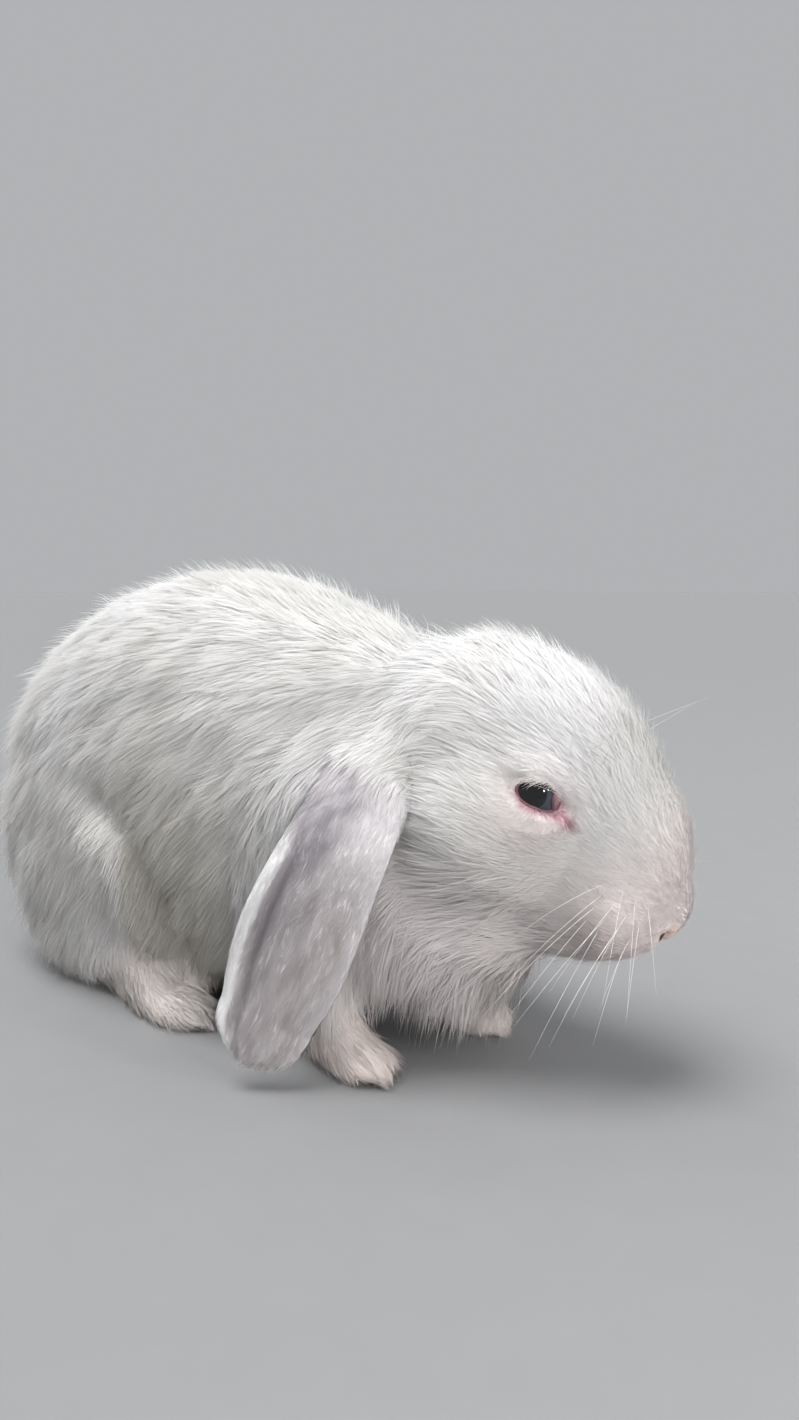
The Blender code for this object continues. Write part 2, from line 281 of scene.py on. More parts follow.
def grid_mesh(name, points, wrap_u=False, wrap_v=False):
    """Quads over a grid of points [u, v, xyz], closed round u or v where asked."""
    rows, cols = points.shape[:2]
    index = np.arange(rows * cols).reshape(rows, cols)
    if wrap_u:
        index = np.vstack((index, index[:1]))
    if wrap_v:
        index = np.hstack((index, index[:, :1]))
    a, b, c, d = index[:-1, :-1], index[1:, :-1], index[1:, 1:], index[:-1, 1:]
    quads = np.stack((a, b, c, d), axis=-1).reshape(-1, 4)
    mesh = bpy.data.meshes.new(name)
    mesh.from_pydata(points.reshape(-1, 3).tolist(), [], quads.tolist())
    mesh.update()
    return mesh


def tidy_mesh(mesh, weld=1e-6):
    """Merge doubled points, fill open ends, turn faces outwards and shade smooth."""
    solid = bmesh.new()
    solid.from_mesh(mesh)
    bmesh.ops.remove_doubles(solid, verts=solid.verts[:], dist=weld)
    rims = [edge for edge in solid.edges if len(edge.link_faces) == 1]
    bmesh.ops.holes_fill(solid, edges=rims, sides=0)
    bmesh.ops.recalc_face_normals(solid, faces=solid.faces[:])
    solid.to_mesh(mesh)
    solid.free()
    mesh.shade_smooth()
    return mesh


# ---------------------------------------------------------------- materials
def add_node(tree, kind, settings=None, links=None):
    """Add a node, set its properties and inputs by name, and link inputs to sockets."""
    made = tree.nodes.new(kind)
    for key, value in (settings or {}).items():
        if key in made.inputs:
            made.inputs[key].default_value = value
        else:
            setattr(made, key, value)
    for key, socket in (links or {}).items():
        tree.links.new(socket, made.inputs[key])
    return made


def new_material(name):
    """An empty node material and its tree."""
    made = bpy.data.materials.new(name)
    made.use_nodes = True
    made.node_tree.nodes.clear()
    return made, made.node_tree


def coat_material(name, light_through):
    """Fine hair: each hair lets light through and takes the lie of the coat round it.

    The coat's own normals shade it softly, as dense fur scatters light, with little gloss.
    """
    made, tree = new_material(name)
    colour = add_node(tree, "ShaderNodeAttribute", {"attribute_name": "coat_colour"})
    lie = add_node(tree, "ShaderNodeAttribute", {"attribute_name": "coat_normal"})
    hair = add_node(tree, "ShaderNodeBsdfPrincipled",
                    {"Roughness": 0.55, "Specular IOR Level": 0.35},
                    {"Base Color": colour.outputs["Color"], "Normal": lie.outputs["Vector"]})
    glow = add_node(tree, "ShaderNodeBsdfTranslucent", {}, {"Color": colour.outputs["Color"]})
    both = add_node(tree, "ShaderNodeMixShader", {"Fac": light_through})
    tree.links.new(hair.outputs[0], both.inputs[1])
    tree.links.new(glow.outputs[0], both.inputs[2])
    add_node(tree, "ShaderNodeOutputMaterial", {}, {"Surface": both.outputs[0]})
    made.cycles.use_bump_map_correction = False
    return made


def skin_material():
    """Living skin and underfur: matt, pink where bare, with fine wrinkles about 0.8 mm apart."""
    made, tree = new_material("skin_with_underfur")
    colour = add_node(tree, "ShaderNodeAttribute", {"attribute_name": "coat_colour"})
    place = add_node(tree, "ShaderNodeTexCoord")
    wrinkles = add_node(tree, "ShaderNodeTexNoise", {"Scale": 1 / (0.8 * MM), "Detail": 4.0},
                        {"Vector": place.outputs["Object"]})
    bump = add_node(tree, "ShaderNodeBump", {"Strength": 0.35, "Distance": 0.2 * MM},
                    {"Height": wrinkles.outputs[0]})
    shader = add_node(tree, "ShaderNodeBsdfPrincipled",
                      {"Roughness": 0.6, "Specular IOR Level": 0.35},
                      {"Base Color": colour.outputs["Color"], "Normal": bump.outputs[0]})
    add_node(tree, "ShaderNodeOutputMaterial", {}, {"Surface": shader.outputs[0]})
    return made


def wet_material(name, roughness, film, crease=0.0):
    """Wet tissue: the colour comes with the mesh, under a clear film that mirrors the lights."""
    made, tree = new_material(name)
    colour = add_node(tree, "ShaderNodeAttribute", {"attribute_name": "coat_colour"})
    shader = add_node(tree, "ShaderNodeBsdfPrincipled",
                      {"Roughness": roughness, "Coat Weight": film, "Coat Roughness": 0.03,
                       "IOR": 1.38}, {"Base Color": colour.outputs["Color"]})
    if crease:
        place = add_node(tree, "ShaderNodeTexCoord")
        creases = add_node(tree, "ShaderNodeTexNoise", {"Scale": 1 / (crease * MM)},
                           {"Vector": place.outputs["Object"]})
        bump = add_node(tree, "ShaderNodeBump", {"Strength": 0.5, "Distance": 0.15 * MM},
                        {"Height": creases.outputs[0]})
        tree.links.new(bump.outputs[0], shader.inputs["Normal"])
    add_node(tree, "ShaderNodeOutputMaterial", {}, {"Surface": shader.outputs[0]})
    return made


def horn_material(name, root, tip, length):
    """Keratin: pale horn in two tones that drift over about a length, with a low gloss."""
    made, tree = new_material(name)
    place = add_node(tree, "ShaderNodeTexCoord")
    drift = add_node(tree, "ShaderNodeTexNoise", {"Scale": 1 / (length * MM)},
                     {"Vector": place.outputs["Object"]})
    tint = add_node(tree, "ShaderNodeValToRGB", {}, {"Fac": drift.outputs[0]})
    tint.color_ramp.elements[0].color = (*linear(root), 1)
    tint.color_ramp.elements[1].color = (*linear(tip), 1)
    shader = add_node(tree, "ShaderNodeBsdfPrincipled", {"Roughness": 0.35},
                      {"Base Color": tint.outputs[0]})
    add_node(tree, "ShaderNodeOutputMaterial", {}, {"Surface": shader.outputs[0]})
    return made


# ---------------------------------------------------------------- frames of the body
def node_points(name):
    """The vertices of one of the frame's nodes."""
    return points_of(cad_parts[name].data)


def box_of(name):
    """The lower and the upper corner of a node's box."""
    return [np.array(corner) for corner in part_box(name)]


EYE_AT = {side: sum(box_of(f"eye_{side}")) / 2 for side in SIDES}
EYE_RADIUS = np.ptp(box_of("eye_right"), axis=0)[2] / 2
UP = np.array((0.0, 0.0, 1.0))
HEAD_LEFT = unit(EYE_AT["left"] - EYE_AT["right"])
HEAD_LEVEL = np.cross(HEAD_LEFT, UP)
PITCH = math.radians(HEAD_PITCH)
HEAD_AXES = np.array((math.cos(PITCH) * HEAD_LEVEL - math.sin(PITCH) * UP, HEAD_LEFT,
                      math.sin(PITCH) * HEAD_LEVEL + math.cos(PITCH) * UP))
POLL = (EYE_AT["left"] + EYE_AT["right"]) / 2 - MM * np.array((EYE_AHEAD, 0, EYE_ABOVE)) @ HEAD_AXES


def in_head(points):
    """World metres to millimetres in the head's frame."""
    return (np.asarray(points) - POLL) @ HEAD_AXES.T / MM


def from_head(points):
    """Millimetres in the head's frame to world metres."""
    return np.asarray(points, dtype=float) * MM @ HEAD_AXES + POLL


def toward(x, y, z):
    """A direction given in the head's frame, as a world direction of length 1."""
    return unit(np.array((x, y, z)) @ HEAD_AXES)


def sign_of(side):
    """Which way a side is: -1 for the right, towards -Y, and 1 for the left."""
    return -1 if side == "right" else 1


def eye_axes(side):
    """The lid opening's axes: along the slit towards the nose, up across it, and outwards."""
    out = toward(0.06, sign_of(side) * 0.96, 0.28)
    along = toward(math.cos(LID_RISE), 0, math.sin(LID_RISE))
    along = unit(along - out * (along @ out))
    up = np.cross(out, along)
    return np.array((along, up * np.sign(up @ HEAD_AXES[2]), out))


def lid_reach(turn):
    """Closed curve through the eight reaches of the opening: the sum of their four waves."""
    waves = np.fft.rfft(LID_REACH) / len(LID_REACH)
    total = np.full(np.shape(turn), waves[0].real)
    for k in range(1, len(waves)):
        share = 1 if k == len(waves) - 1 else 2
        total += share * (waves[k].real * np.cos(k * turn) - waves[k].imag * np.sin(k * turn))
    return total


def lid_measure(points, side):
    """How places lie about the lid opening, measured along the eyeball in millimetres.

    Returns how far outside the opening's edge (negative inside), the distance from the eye's
    middle, the turn about the opening from its nose end over its top, and slit coordinates. The
    way to the edge is 0.85 of that along the radius, because the edge runs aslant of it.
    """
    local = (np.asarray(points) - EYE_AT[side]) @ eye_axes(side).T / MM
    radius = np.linalg.norm(local, axis=-1)
    turn = np.arctan2(local[..., 1], local[..., 0])
    tilt = np.arccos(np.clip(local[..., 2] / np.maximum(radius, 1e-6), -1, 1))
    outside = (tilt * EYE_RADIUS / MM - lid_reach(turn)) * 0.85
    return outside, radius, turn, local


def tear_share(local):
    """How near a place is to the tear line, which runs on from the lids' front corner.

    A bell across the line, 2.2 mm wide at the lids and 1.1 mm at its end, times one past its ends.
    """
    along = np.clip((local[..., 0] - TEAR_LINE[0][0]) / (TEAR_LINE[1][0] - TEAR_LINE[0][0]), 0, 1)
    line = TEAR_LINE[0][1] + along * (TEAR_LINE[1][1] - TEAR_LINE[0][1])
    beyond = np.maximum(local[..., 0] - TEAR_LINE[1][0], 0)
    beyond += np.maximum(TEAR_LINE[0][0] - local[..., 0], 0)
    width = 2.2 - 1.1 * along
    return np.exp(-((local[..., 1] - line) / width) ** 2 - (beyond / 1.5) ** 2) * (local[..., 2] > -6)


def ear_slices(side):
    """An ear's own axes and, slice by slice down it, its rear and front edges and its level.

    The axes are those of the ear's spread. Each slice cuts the mesh's edges with a plane, and is
    then evened with the slices next to it.
    """
    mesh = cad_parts[f"ear_{side}"].data
    known = points_of(mesh)
    middle = known.mean(0)
    _, axes = np.linalg.eigh(np.cov((known - middle).T))
    out, wide, long = axes.T
    axes = np.array((long * -np.sign(long[2]), wide * np.sign(wide @ HEAD_LEVEL),
                     out * np.sign(out[1]) * sign_of(side)))
    local = (known - middle) @ axes.T
    a, b = local[read(mesh.edges, "vertices", 2, np.int32).T]
    start, end = local[:, 0].min(), local[:, 0].max() - EAR_CUT * MM
    steps = np.linspace(start + 0.02 * (end - start), end - EAR_TIP * MM, 14)
    rows = []
    for step in steps:
        cut = (a[:, 0] - step) * (b[:, 0] - step) < 0
        share = (step - a[cut, 0]) / (b[cut, 0] - a[cut, 0])
        crossing = a[cut] + (b[cut] - a[cut]) * share[:, None]
        rows.append((crossing[:, 1].min(), crossing[:, 1].max(), crossing[:, 2].mean()))
    rows = np.array(rows)
    padded = np.vstack((rows[:1], rows, rows[-1:]))
    rows[1:-1] = (padded[:-2] + 2 * padded[1:-1] + padded[2:])[1:-1] / 4
    return middle, axes, (start, end), steps, rows


def ear_long(side):
    """The direction down an ear, from its root to its tip."""
    return EARS[side][1][0]


def ear_frame(down, side):
    """Place, middle, half width and level of an ear at a share of its length, and its narrowing.

    Over the last EAR_TIP it narrows as (1 - way^2.4)^0.46, which is near a half ellipse.
    """
    _, _, (start, end), steps, rows = EARS[side]
    at = start + down * (end - start)
    rear, front, level = (np.interp(at, steps, rows[:, k]) for k in range(3))
    cap = 1 - EAR_TIP * MM / (end - start)
    narrow = np.clip(1 - ramp_line(down, cap, 1) ** 2.4, 0, 1) ** 0.46
    return at, (rear + front) / 2, (front - rear) / 2 * narrow, level, narrow


def ear_place(points, side):
    """Where points lie on an ear: 0 at its root to 1 at its tip, -1 rear to 1 front, and outwards."""
    middle, axes, (start, end), _, _ = EARS[side]
    local = (np.asarray(points) - middle) @ axes.T
    down = np.clip((local[:, 0] - start) / (end - start), 0, 1)
    _, centre, half, level, _ = ear_frame(down, side)
    across = np.clip((local[:, 1] - centre) / np.maximum(half, 3 * MM), -1.2, 1.2)
    return down, across, (local[:, 2] - level) / MM


def build_ear_skin(side):
    """Ear skin: a closed section carried down the ear, narrowed to a rounded tip by ear_frame.

    At share u of its length and angle v, across = cos(v) of the half width, and outwards =
    2.6 mm * (1 - fall towards the edges) + rolled rim - groove + shallow folds - a dip where it
    leaves the head, plus half the thickness * sin(v).
    """
    length = np.ptp(EARS[side][2])
    cap = 1 - EAR_TIP * MM / length
    tip = cap + (1 - cap) * np.sin(np.linspace(0.06, math.pi / 2, 22))
    u = np.concatenate((np.linspace(0, cap, 84), tip))
    v = np.linspace(0, 2 * math.pi, 84, endpoint=False)[None, :]
    at, centre, half, level, narrow = (value[:, None] for value in ear_frame(u, side))
    u = u[:, None]
    share = np.cos(v) * np.ones_like(u)
    rolled = ramp(u, 0.40, 0.60) * ramp(u, 1.0, 0.93)
    rim = 2.8 * np.exp(-((share + 0.90) / 0.15) ** 2) * rolled
    groove = 2.2 * np.exp(-((share + 0.60) / 0.13) ** 2) * rolled
    folds = 0.35 * np.sin(3.1 * share + 9.0 * u) + 0.2 * np.sin(16 * u + 2.0 * share)
    fall = np.where(share < 0, share**2, 0.3 * share**4)
    crown = 2.6 * (1 - fall) + rim - groove + folds - 12.5 * ramp(u, 0.45, 0.08)
    thick = np.sin(v) * (1.5 - 0.4 * u) * np.sqrt(np.maximum(narrow, 0.02))
    local = np.stack((at + 0 * v, centre + half * share, level + (crown + thick) * MM), axis=-1)
    middle, axes = EARS[side][:2]
    return tidy_mesh(grid_mesh(f"ear_skin_{side}", middle + local @ axes, wrap_v=True))


EARS = {side: ear_slices(side) for side in SIDES}


# ---------------------------------------------------------------- skin
def welded(names, swell=0.35):
    """Welded copies of nodes in one mesh, swollen a little so that their thin cuts close."""
    whole = bmesh.new()
    for name in names:
        part = bmesh.new()
        part.from_mesh(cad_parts[name].data)
        bmesh.ops.remove_doubles(part, verts=part.verts[:], dist=1e-6)
        part.normal_update()
        for vert in part.verts:
            vert.co += vert.normal * swell * MM
        spare = bpy.data.meshes.new("spare")
        part.to_mesh(spare)
        part.free()
        whole.from_mesh(spare)
        bpy.data.meshes.remove(spare)
    mesh = bpy.data.meshes.new("welded")
    whole.to_mesh(mesh)
    whole.free()
    return mesh


def remeshed(item, voxel, smooth):
    """The item as one closed body of voxels, softened a number of times."""
    body = item.modifiers.new("one_body", "REMESH")
    body.mode = "VOXEL"
    body.voxel_size = voxel * MM
    soft = item.modifiers.new("soften", "SMOOTH")
    soft.iterations = smooth
    return settle(item)


def nearest_node(points):
    """For each point, the index in FLESH of the CAD node of the body whose surface is nearest."""
    corners, faces, owner, shift = [], [], [], 0
    for number, name in enumerate(BODY):
        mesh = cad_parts[name].data
        triangles = triangles_of(mesh)
        corners.append(points_of(mesh))
        faces.append(triangles + shift)
        owner += [number] * len(triangles)
        shift += len(mesh.vertices)
    tree = BVHTree.FromPolygons(np.vstack(corners).tolist(), np.vstack(faces).tolist())
    return np.array([owner[tree.find_nearest(point)[2]] for point in points.tolist()])


def kind_of(name):
    """A node's name without its side."""
    return name.replace("_right", "").replace("_left", "")


def per_node(labels, table, column=None):
    """For each label, its node's value in a table by kind."""
    rows = [table[kind_of(name)] for name in FLESH]
    return np.array([row if column is None else row[column] for row in rows])[labels]


def is_kind(labels, kind):
    """Which labels are of a kind of node, on either side of the body."""
    return np.array([kind_of(name) == kind for name in FLESH])[labels]


def head_scale(points):
    """Coat over the head against its mean: shortest on the muzzle, longest on crown and jowl."""
    x, _, z = in_head(points).T
    scale = 0.55 + 0.45 * ramp(x, 76, 50)
    scale += 0.55 * ramp(x, 32, 2) + 1.0 * ramp(z, -8, -26) * ramp(x, 62, 34)
    scale += 0.5 * ramp(z, -16, -26) * ramp(x, 86, 78)
    for side in SIDES:
        outside, radius, turn, _ = lid_measure(points, side)
        near = ramp(outside, 7, 0.5) * (radius < EYE_RADIUS / MM + 7)
        scale *= 1 - (0.45 - 0.3 * ramp(np.sin(turn), 0.1, 0.7)) * near
    return scale


def shape_lids(points, *_):
    """A low mound round each eye, drawn over the eyeball as two lids with a rounded margin.

    First the skin is raised outwards to a level that falls off from the opening's rim, by at most
    a soft limit that shrinks away from it. Then it is moved along the eye's radii: outside the
    opening to the margin, eyeball + 0.1 mm + the root of the way from the edge, and inside it to
    under the eyeball. Last it is pressed in along the tear line.
    """
    points = points.copy()
    size = EYE_RADIUS / MM
    for side in SIDES:
        outside, radius, turn, local = lid_measure(points, side)
        edge = lid_reach(turn) / size
        beyond = np.hypot(local[:, 0], local[:, 1]) - (size + 0.9) * np.sin(edge)
        rim = (size + 0.9) * np.cos(edge) - 0.10 * beyond
        cheek = ramp(-np.sin(turn + 0.35), -0.2, 1.0)
        rim += 0.05 * beyond * cheek
        level = mix_values(rim, local[:, 2], ramp(beyond, 2.0 + 5.0 * cheek, 13.0 + 17.0 * cheek))
        raised = np.maximum(level - local[:, 2], 0) * (beyond > 0) * ramp(local[:, 2], -17, -6)
        most = 2.6 + 12 * ramp(beyond, 9 + 11 * cheek, 2)
        raised = most * np.tanh(raised / most)
        points += eye_axes(side)[2] * (raised * MM)[:, None]
        outside, radius, turn, local = lid_measure(points, side)
        above = ramp(np.sin(turn), 0.0, 0.6)
        margin = size + 0.1 + (0.5 + 0.5 * above) * np.sqrt(np.clip(outside, 0, 1.0))
        lid = mix_values(margin, np.maximum(radius, size + 0.8), ramp(outside, 0.5, 1.8))
        target = np.where(outside > 0, lid, size - 1.6 + 1.7 * ramp(outside, -1.0, 0))
        share = np.where((outside < 9) & (radius < size + 9) & (local[:, 2] > -7), 1.0, 0.0)
        goal = EYE_AT[side] + (points - EYE_AT[side]) * (target / np.maximum(radius, 1e-6))[:, None]
        points += (goal - points) * share[:, None]
        push = -0.6 * tear_share(local) * ramp(outside, 0.0, 1.5)
        points += eye_axes(side)[2] * (push * MM)[:, None]
    return points


def nostril_share(x, y, z):
    """A comma on each side of the nose: an ellipse that leans outwards as it rises."""
    across = np.abs(y) - 7.6 - 0.5 * (z + 6.0)
    return np.exp(-(across / 1.2) ** 2 - ((z + 6.0) / 2.1) ** 2 - ((x - 92) / 6) ** 4)


def shape_nose(points, normals, _):
    """Narrow the nose between the whisker pads, and sink its nostrils, the cleft and the mouth.

    Each is a bell across its line or middle, cut off with ramps along it; the pads and the bridge
    of the nose are bells that are raised.
    """
    x, y, z = in_head(points).T
    nose = ramp(x, 84, 93) * ramp(z, -12, -6) * ramp(z, 18, 8)
    bridge = np.exp(-((x - 88.5) / 2.6) ** 2) * ramp(z, 0, 6)
    pad = np.exp(-((x - 79) / 9) ** 2 - ((z + 10) / 11) ** 2) * ramp(np.abs(y), 7, 13)
    points = points - HEAD_LEFT * (0.24 * nose * y * MM)[:, None]
    front = ramp(x, 80, 88)
    cleft = np.exp(-(y / 0.9) ** 2) * ramp(z, -7, -9) * ramp(z, -22, -17)
    notch = np.exp(-((z + 9.0) / 1.6) ** 2) * ramp(np.abs(y), 9, 6)
    mouth = np.exp(-((z + 21 + 0.2 * np.abs(y)) / 1.2) ** 2) * ramp(np.abs(y), 13, 9) * ramp(x, 70, 78)
    depth = 2.6 * nostril_share(x, y, z) + (1.2 * cleft + 1.8 * notch) * front + 0.9 * mouth
    depth += 0.6 * bridge - 0.6 * pad
    depth -= 1.5 * np.exp(-((x - 76) / 9) ** 2) * ramp(z, 2, 16) * ramp(np.abs(y), 17, 3)
    return points - normals * (depth * MM)[:, None]


def shape_toes(points, normals, labels):
    """Grooves between the four toes of each foot, and fuller sides to the fore paws.

    A groove is a bell about every TOE_WIDTH across the foot, and the sides are raised where they
    face sideways. Both grow from nothing 17 mm behind the foot's front end.
    """
    points = points.copy()
    for node in FEET:
        front = box_of(node)[1][0]
        ahead = ramp(points[:, 0], front - 17 * MM, front - 6 * MM)
        phase = (points[:, 1] - front_middle(node)) / (TOE_WIDTH * MM)
        groove = np.exp(-((phase - np.round(phase)) / 0.2) ** 2) * (np.abs(phase) < 1.5)
        fuller = TOE_SIDE * np.abs(normals[:, 1]) * ramp(points[:, 2], 1 * MM, 6 * MM)
        fuller = fuller * ("fore" in node)
        depth = MM * (TOE_GROOVE * groove - fuller) * ahead * (labels == FLESH.index(node))
        points -= normals * depth[:, None]
    return points


def front_middle(node):
    """The middle of a foot's front end, across it."""
    known = node_points(node)
    toes = known[known[:, 0] > known[:, 0].max() - 14 * MM]
    return (toes[:, 1].min() + toes[:, 1].max()) / 2


def shape_haunch(points, normals, _):
    """A soft valley down each flank in front of the thigh, and a swell over the thigh.

    The valley is a bell across a line that leans forwards as it rises, steeper towards the thigh.
    The swell is a bell 30 mm wide about the thigh's middle.
    """
    x, z = points[:, 0] / MM, points[:, 2] / MM
    ahead = x - HAUNCH_EDGE + 0.022 * np.maximum(z - 50, 0) ** 2
    valley = np.exp(-((ahead - 2) / np.where(ahead > 2, 10.0, 6.5)) ** 2)
    valley *= ramp(z, 98, 65) * ramp(z, 5, 18)
    side = ramp(np.abs(points[:, 1]) / MM, 30, 45)
    swell = ramp(ahead, 0, -12) * np.exp(-((ahead + 16) / 30.0) ** 2 - ((z - 48) / 30.0) ** 2)
    depth = (THIGH_SWELL * swell - FLANK_VALLEY * valley) * side
    return points + normals * (depth * MM)[:, None]


def shape_tufts(points, normals, labels):
    """Broad soft tufts on flanks, thighs and chest: waves drawn out along the lie of the coat."""
    lie = unit(np.array((-0.75, 0.0, -0.75)))
    relief = wave(points - np.outer(points @ lie, 0.62 * lie), TUFT_SIZES[0], 61)
    relief += 0.5 * wave(points - np.outer(points @ lie, 0.6 * lie), TUFT_SIZES[1], 62)
    body = is_kind(labels, "trunk") | is_kind(labels, "hind_leg") | is_kind(labels, "neck")
    side = ramp(np.abs(normals[:, 1]) + 0.8 * np.maximum(normals[:, 0], 0), 0.35, 0.8)
    low = ramp(points[:, 2], 12 * MM, 28 * MM)
    return points + normals * (TUFT_HEIGHT * relief * body * side * low * MM)[:, None]


def refine(mesh, centre, reach, cuts):
    """Cut the faces near a place into smaller ones."""
    solid = bmesh.new()
    solid.from_mesh(mesh)
    place = Vector(centre)
    edges = [edge for edge in solid.edges
             if ((edge.verts[0].co + edge.verts[1].co) / 2 - place).length < reach * MM]
    bmesh.ops.subdivide_edges(solid, edges=edges, cuts=cuts, use_grid_fill=True, smooth=0.0)
    bmesh.ops.triangulate(solid, faces=[face for face in solid.faces if len(face.verts) > 4])
    solid.to_mesh(mesh)
    solid.free()


def build_skin():
    """The one skin: the welded nodes of the body, drawn in by the depth of the coat, and the ears.

    Returns the object and the node that each of its vertices belongs to.
    """
    item = add_object("skin", welded(BODY + EYES))
    remeshed(item, SKIN_VOXEL, 6)
    mesh = item.data
    points = points_of(mesh)
    labels = nearest_node(points)
    depth = per_node(labels, COAT_DEPTH)
    depth = np.where(is_kind(labels, "head"), depth * head_scale(points), depth)
    depth = spread(mesh, depth, 16)
    depth = 0.6 + (depth - 0.6) * ramp(points[:, 2], 3 * MM, 8 * MM)
    normals = unit(spread(mesh, normals_of(mesh), 3))
    set_points(mesh, points - normals * (depth * MM)[:, None])
    remeshed(item, SKIN_VOXEL, 5)
    for side in SIDES:
        refine(item.data, EYE_AT[side], 15, 2)
        refine(item.data, EYE_AT[side] + eye_axes(side)[2] * 8 * MM, 11, 1)
    refine(item.data, from_head((90, 0, -8)), 16, 2)
    mesh = item.data
    labels = nearest_node(points_of(mesh))
    for shape in (shape_toes, shape_nose, shape_haunch, shape_tufts, shape_lids):
        set_points(mesh, shape(points_of(mesh), normals_of(mesh), labels))

    whole = bmesh.new()
    whole.from_mesh(mesh)
    for side in SIDES:
        ear = build_ear_skin(side)
        whole.from_mesh(ear)
        places = points_of(ear)
        crown = ear_place(places, side)[0] + 0.04 * wave(places, 7, 4) < 0.2
        labels = np.append(labels, np.where(crown, 0, FLESH.index(f"ear_{side}")))
        bpy.data.meshes.remove(ear)
    whole.to_mesh(mesh)
    whole.free()
    mesh.shade_smooth()
    return item, labels


# ---------------------------------------------------------------- colours
# The coat: white, its faint off-white tone, a pink blush over muzzle and chest, and a darker,
# warmer painted shade over the low flanks
WHITE = linear("#f6f5f5")
SHADE = linear("#ecebe8")
BLUSH = linear("#f2e6e4")
LOW_FLANK_SHADE = linear("#d2cec5")
CREAM = linear("#f6e9e2")

# The ears: lilac grey, partly painted shade; painted shade in the groove; a warm grey painted
# shade low down; and light parts
LILAC_AND_SHADE = linear("#a7a2a8")
GROOVE_SHADE = linear("#948e93")
EAR_WARM_SHADE = linear("#bab2b0")
EAR_LIGHT = linear("#e6e2e4")

# Bare skin: lids, tear line, the lid's dark margin with painted shadow above the opening, nose,
# and nostrils coloured dark as painted shade
ROSE = linear("#b98c95")
TEAR = linear("#bd8b97")
LID_MARGIN_AND_SHADOW = linear("#6d4c55")
NOSE = linear("#e3c6bb")
NOSE_EDGE = linear("#b9876c")
NOSTRIL_SHADE = linear("#3c241e")

# The eye from its middle outwards, the moist rim of the lids, and the third lid's painted shade
# and pale colour
PUPIL = linear("#040405")
IRIS_DARK = linear("#2c2f37")
IRIS_PALE = linear("#474b57")
IRIS_RIM = linear("#1d2026")
EYE_BACK = linear("#2a2022")
RIM_DARK = linear("#4f343c")
RIM_PALE = linear("#855c67")
THIRD_LID_SHADE = linear("#5b3c45")
LID_PALE = linear("#a88189")


def wave(points, size, seed):
    """Soft random patches: a sum of a few sine waves about size millimetres long."""
    rng = np.random.default_rng(seed)
    total = np.zeros(len(points))
    for _ in range(9):
        heading = unit(rng.normal(size=3)) * 2 * math.pi / (size * MM * rng.uniform(0.7, 1.5))
        total += np.sin(points @ heading + rng.uniform(0, 2 * math.pi))
    return total / 4.2


def ear_colours(points, side):
    """White at the front edge and the rolled rim, lilac behind, deepest in the groove. The lilac is
    partly painted shade, and the lower ear and the groove are darkened as painted shade.
    """
    down, across, _ = ear_place(points, side)
    long = ear_long(side)
    streaks = wave(points - np.outer(points @ long, 0.85 * long), 2.4, 9)
    # Lilac patches: partly the ear's own colour, partly painted shade over its middle
    tint = ramp(across, 0.55, -0.45) * ramp(down, 0.14, 0.32) * (0.6 + 0.4 * ramp(down, 0.6, 0.4))
    tint = np.clip(tint * (0.75 + 0.4 * wave(points, 20, 3) + 0.4 * streaks), 0, 1)
    # Painted shade: the lower ear, away from its front edge, turns a darker warm grey
    lower_warm_shade = ramp(down, 0.32, 0.62) * ramp(across, 1.15, 0.6) * (0.75 + 0.3 * streaks)
    colour = mix(WHITE, EAR_LIGHT, ramp(down, 0.1, 0.3))
    colour = mix(mix(colour, EAR_WARM_SHADE, lower_warm_shade), LILAC_AND_SHADE, tint)
    # Painted shade in the groove beside the rolled rim
    groove = np.exp(-((across + 0.60) / 0.12) ** 2) * ramp(down, 0.42, 0.55) * ramp(down, 0.9, 0.75)
    colour = mix(colour, GROOVE_SHADE, 0.8 * groove)
    return mix(colour, WHITE, ramp(across, -0.72, -0.82) * ramp(down, 0.38, 0.5))


def coat_colours(points, labels):
    """One set of markings for skin and coat, as smooth functions of the place on the body, with a
    painted shade over the low flanks.
    """
    ahead = in_head(points)[:, 0]
    colour = mix(WHITE, SHADE, np.clip(0.45 + 0.45 * wave(points, 45, 1), 0, 1))
    head = is_kind(labels, "head")
    # Painted shade: the low flanks of the trunk and thighs, behind the chest, darken towards the floor
    low = ramp(points[:, 2], 0.13, 0.055) * ramp(points[:, 0], 0.06, 0.02)
    body = 0.8 * is_kind(labels, "trunk") + 0.15 * is_kind(labels, "hind_leg")
    colour = mix(colour, LOW_FLANK_SHADE, low * body)
    colour = mix(colour, BLUSH, head * ramp(ahead, 60, 84) * 0.55)
    colour = mix(colour, BLUSH, 0.4 * ramp(points[:, 0], 0.04, 0.09) * ramp(points[:, 2], 0.09, 0.05))
    for side in SIDES:
        _, _, _, local = lid_measure(points, side)
        around = np.exp(-(np.hypot(local[:, 0] - 3, local[:, 1] + 4) / 12) ** 2) * (local[:, 2] > -6)
        colour = mix(colour, BLUSH, 0.6 * head * around)
        ear = labels == FLESH.index(f"ear_{side}")
        colour = np.where(ear[:, None], ear_colours(points, side), colour)
    paws = is_kind(labels, "fore_paw") * 0.6 + is_kind(labels, "hind_foot") * 0.45
    return mix(colour, CREAM, paws)


def bare_nose(x, y, z):
    """Where the nose is bare, in the head's frame."""
    return ramp(x, 86, 91) * ramp(np.abs(y), 9.0, 7) * ramp(z, -10.5, -8.5) * ramp(z, 1.5, -2)


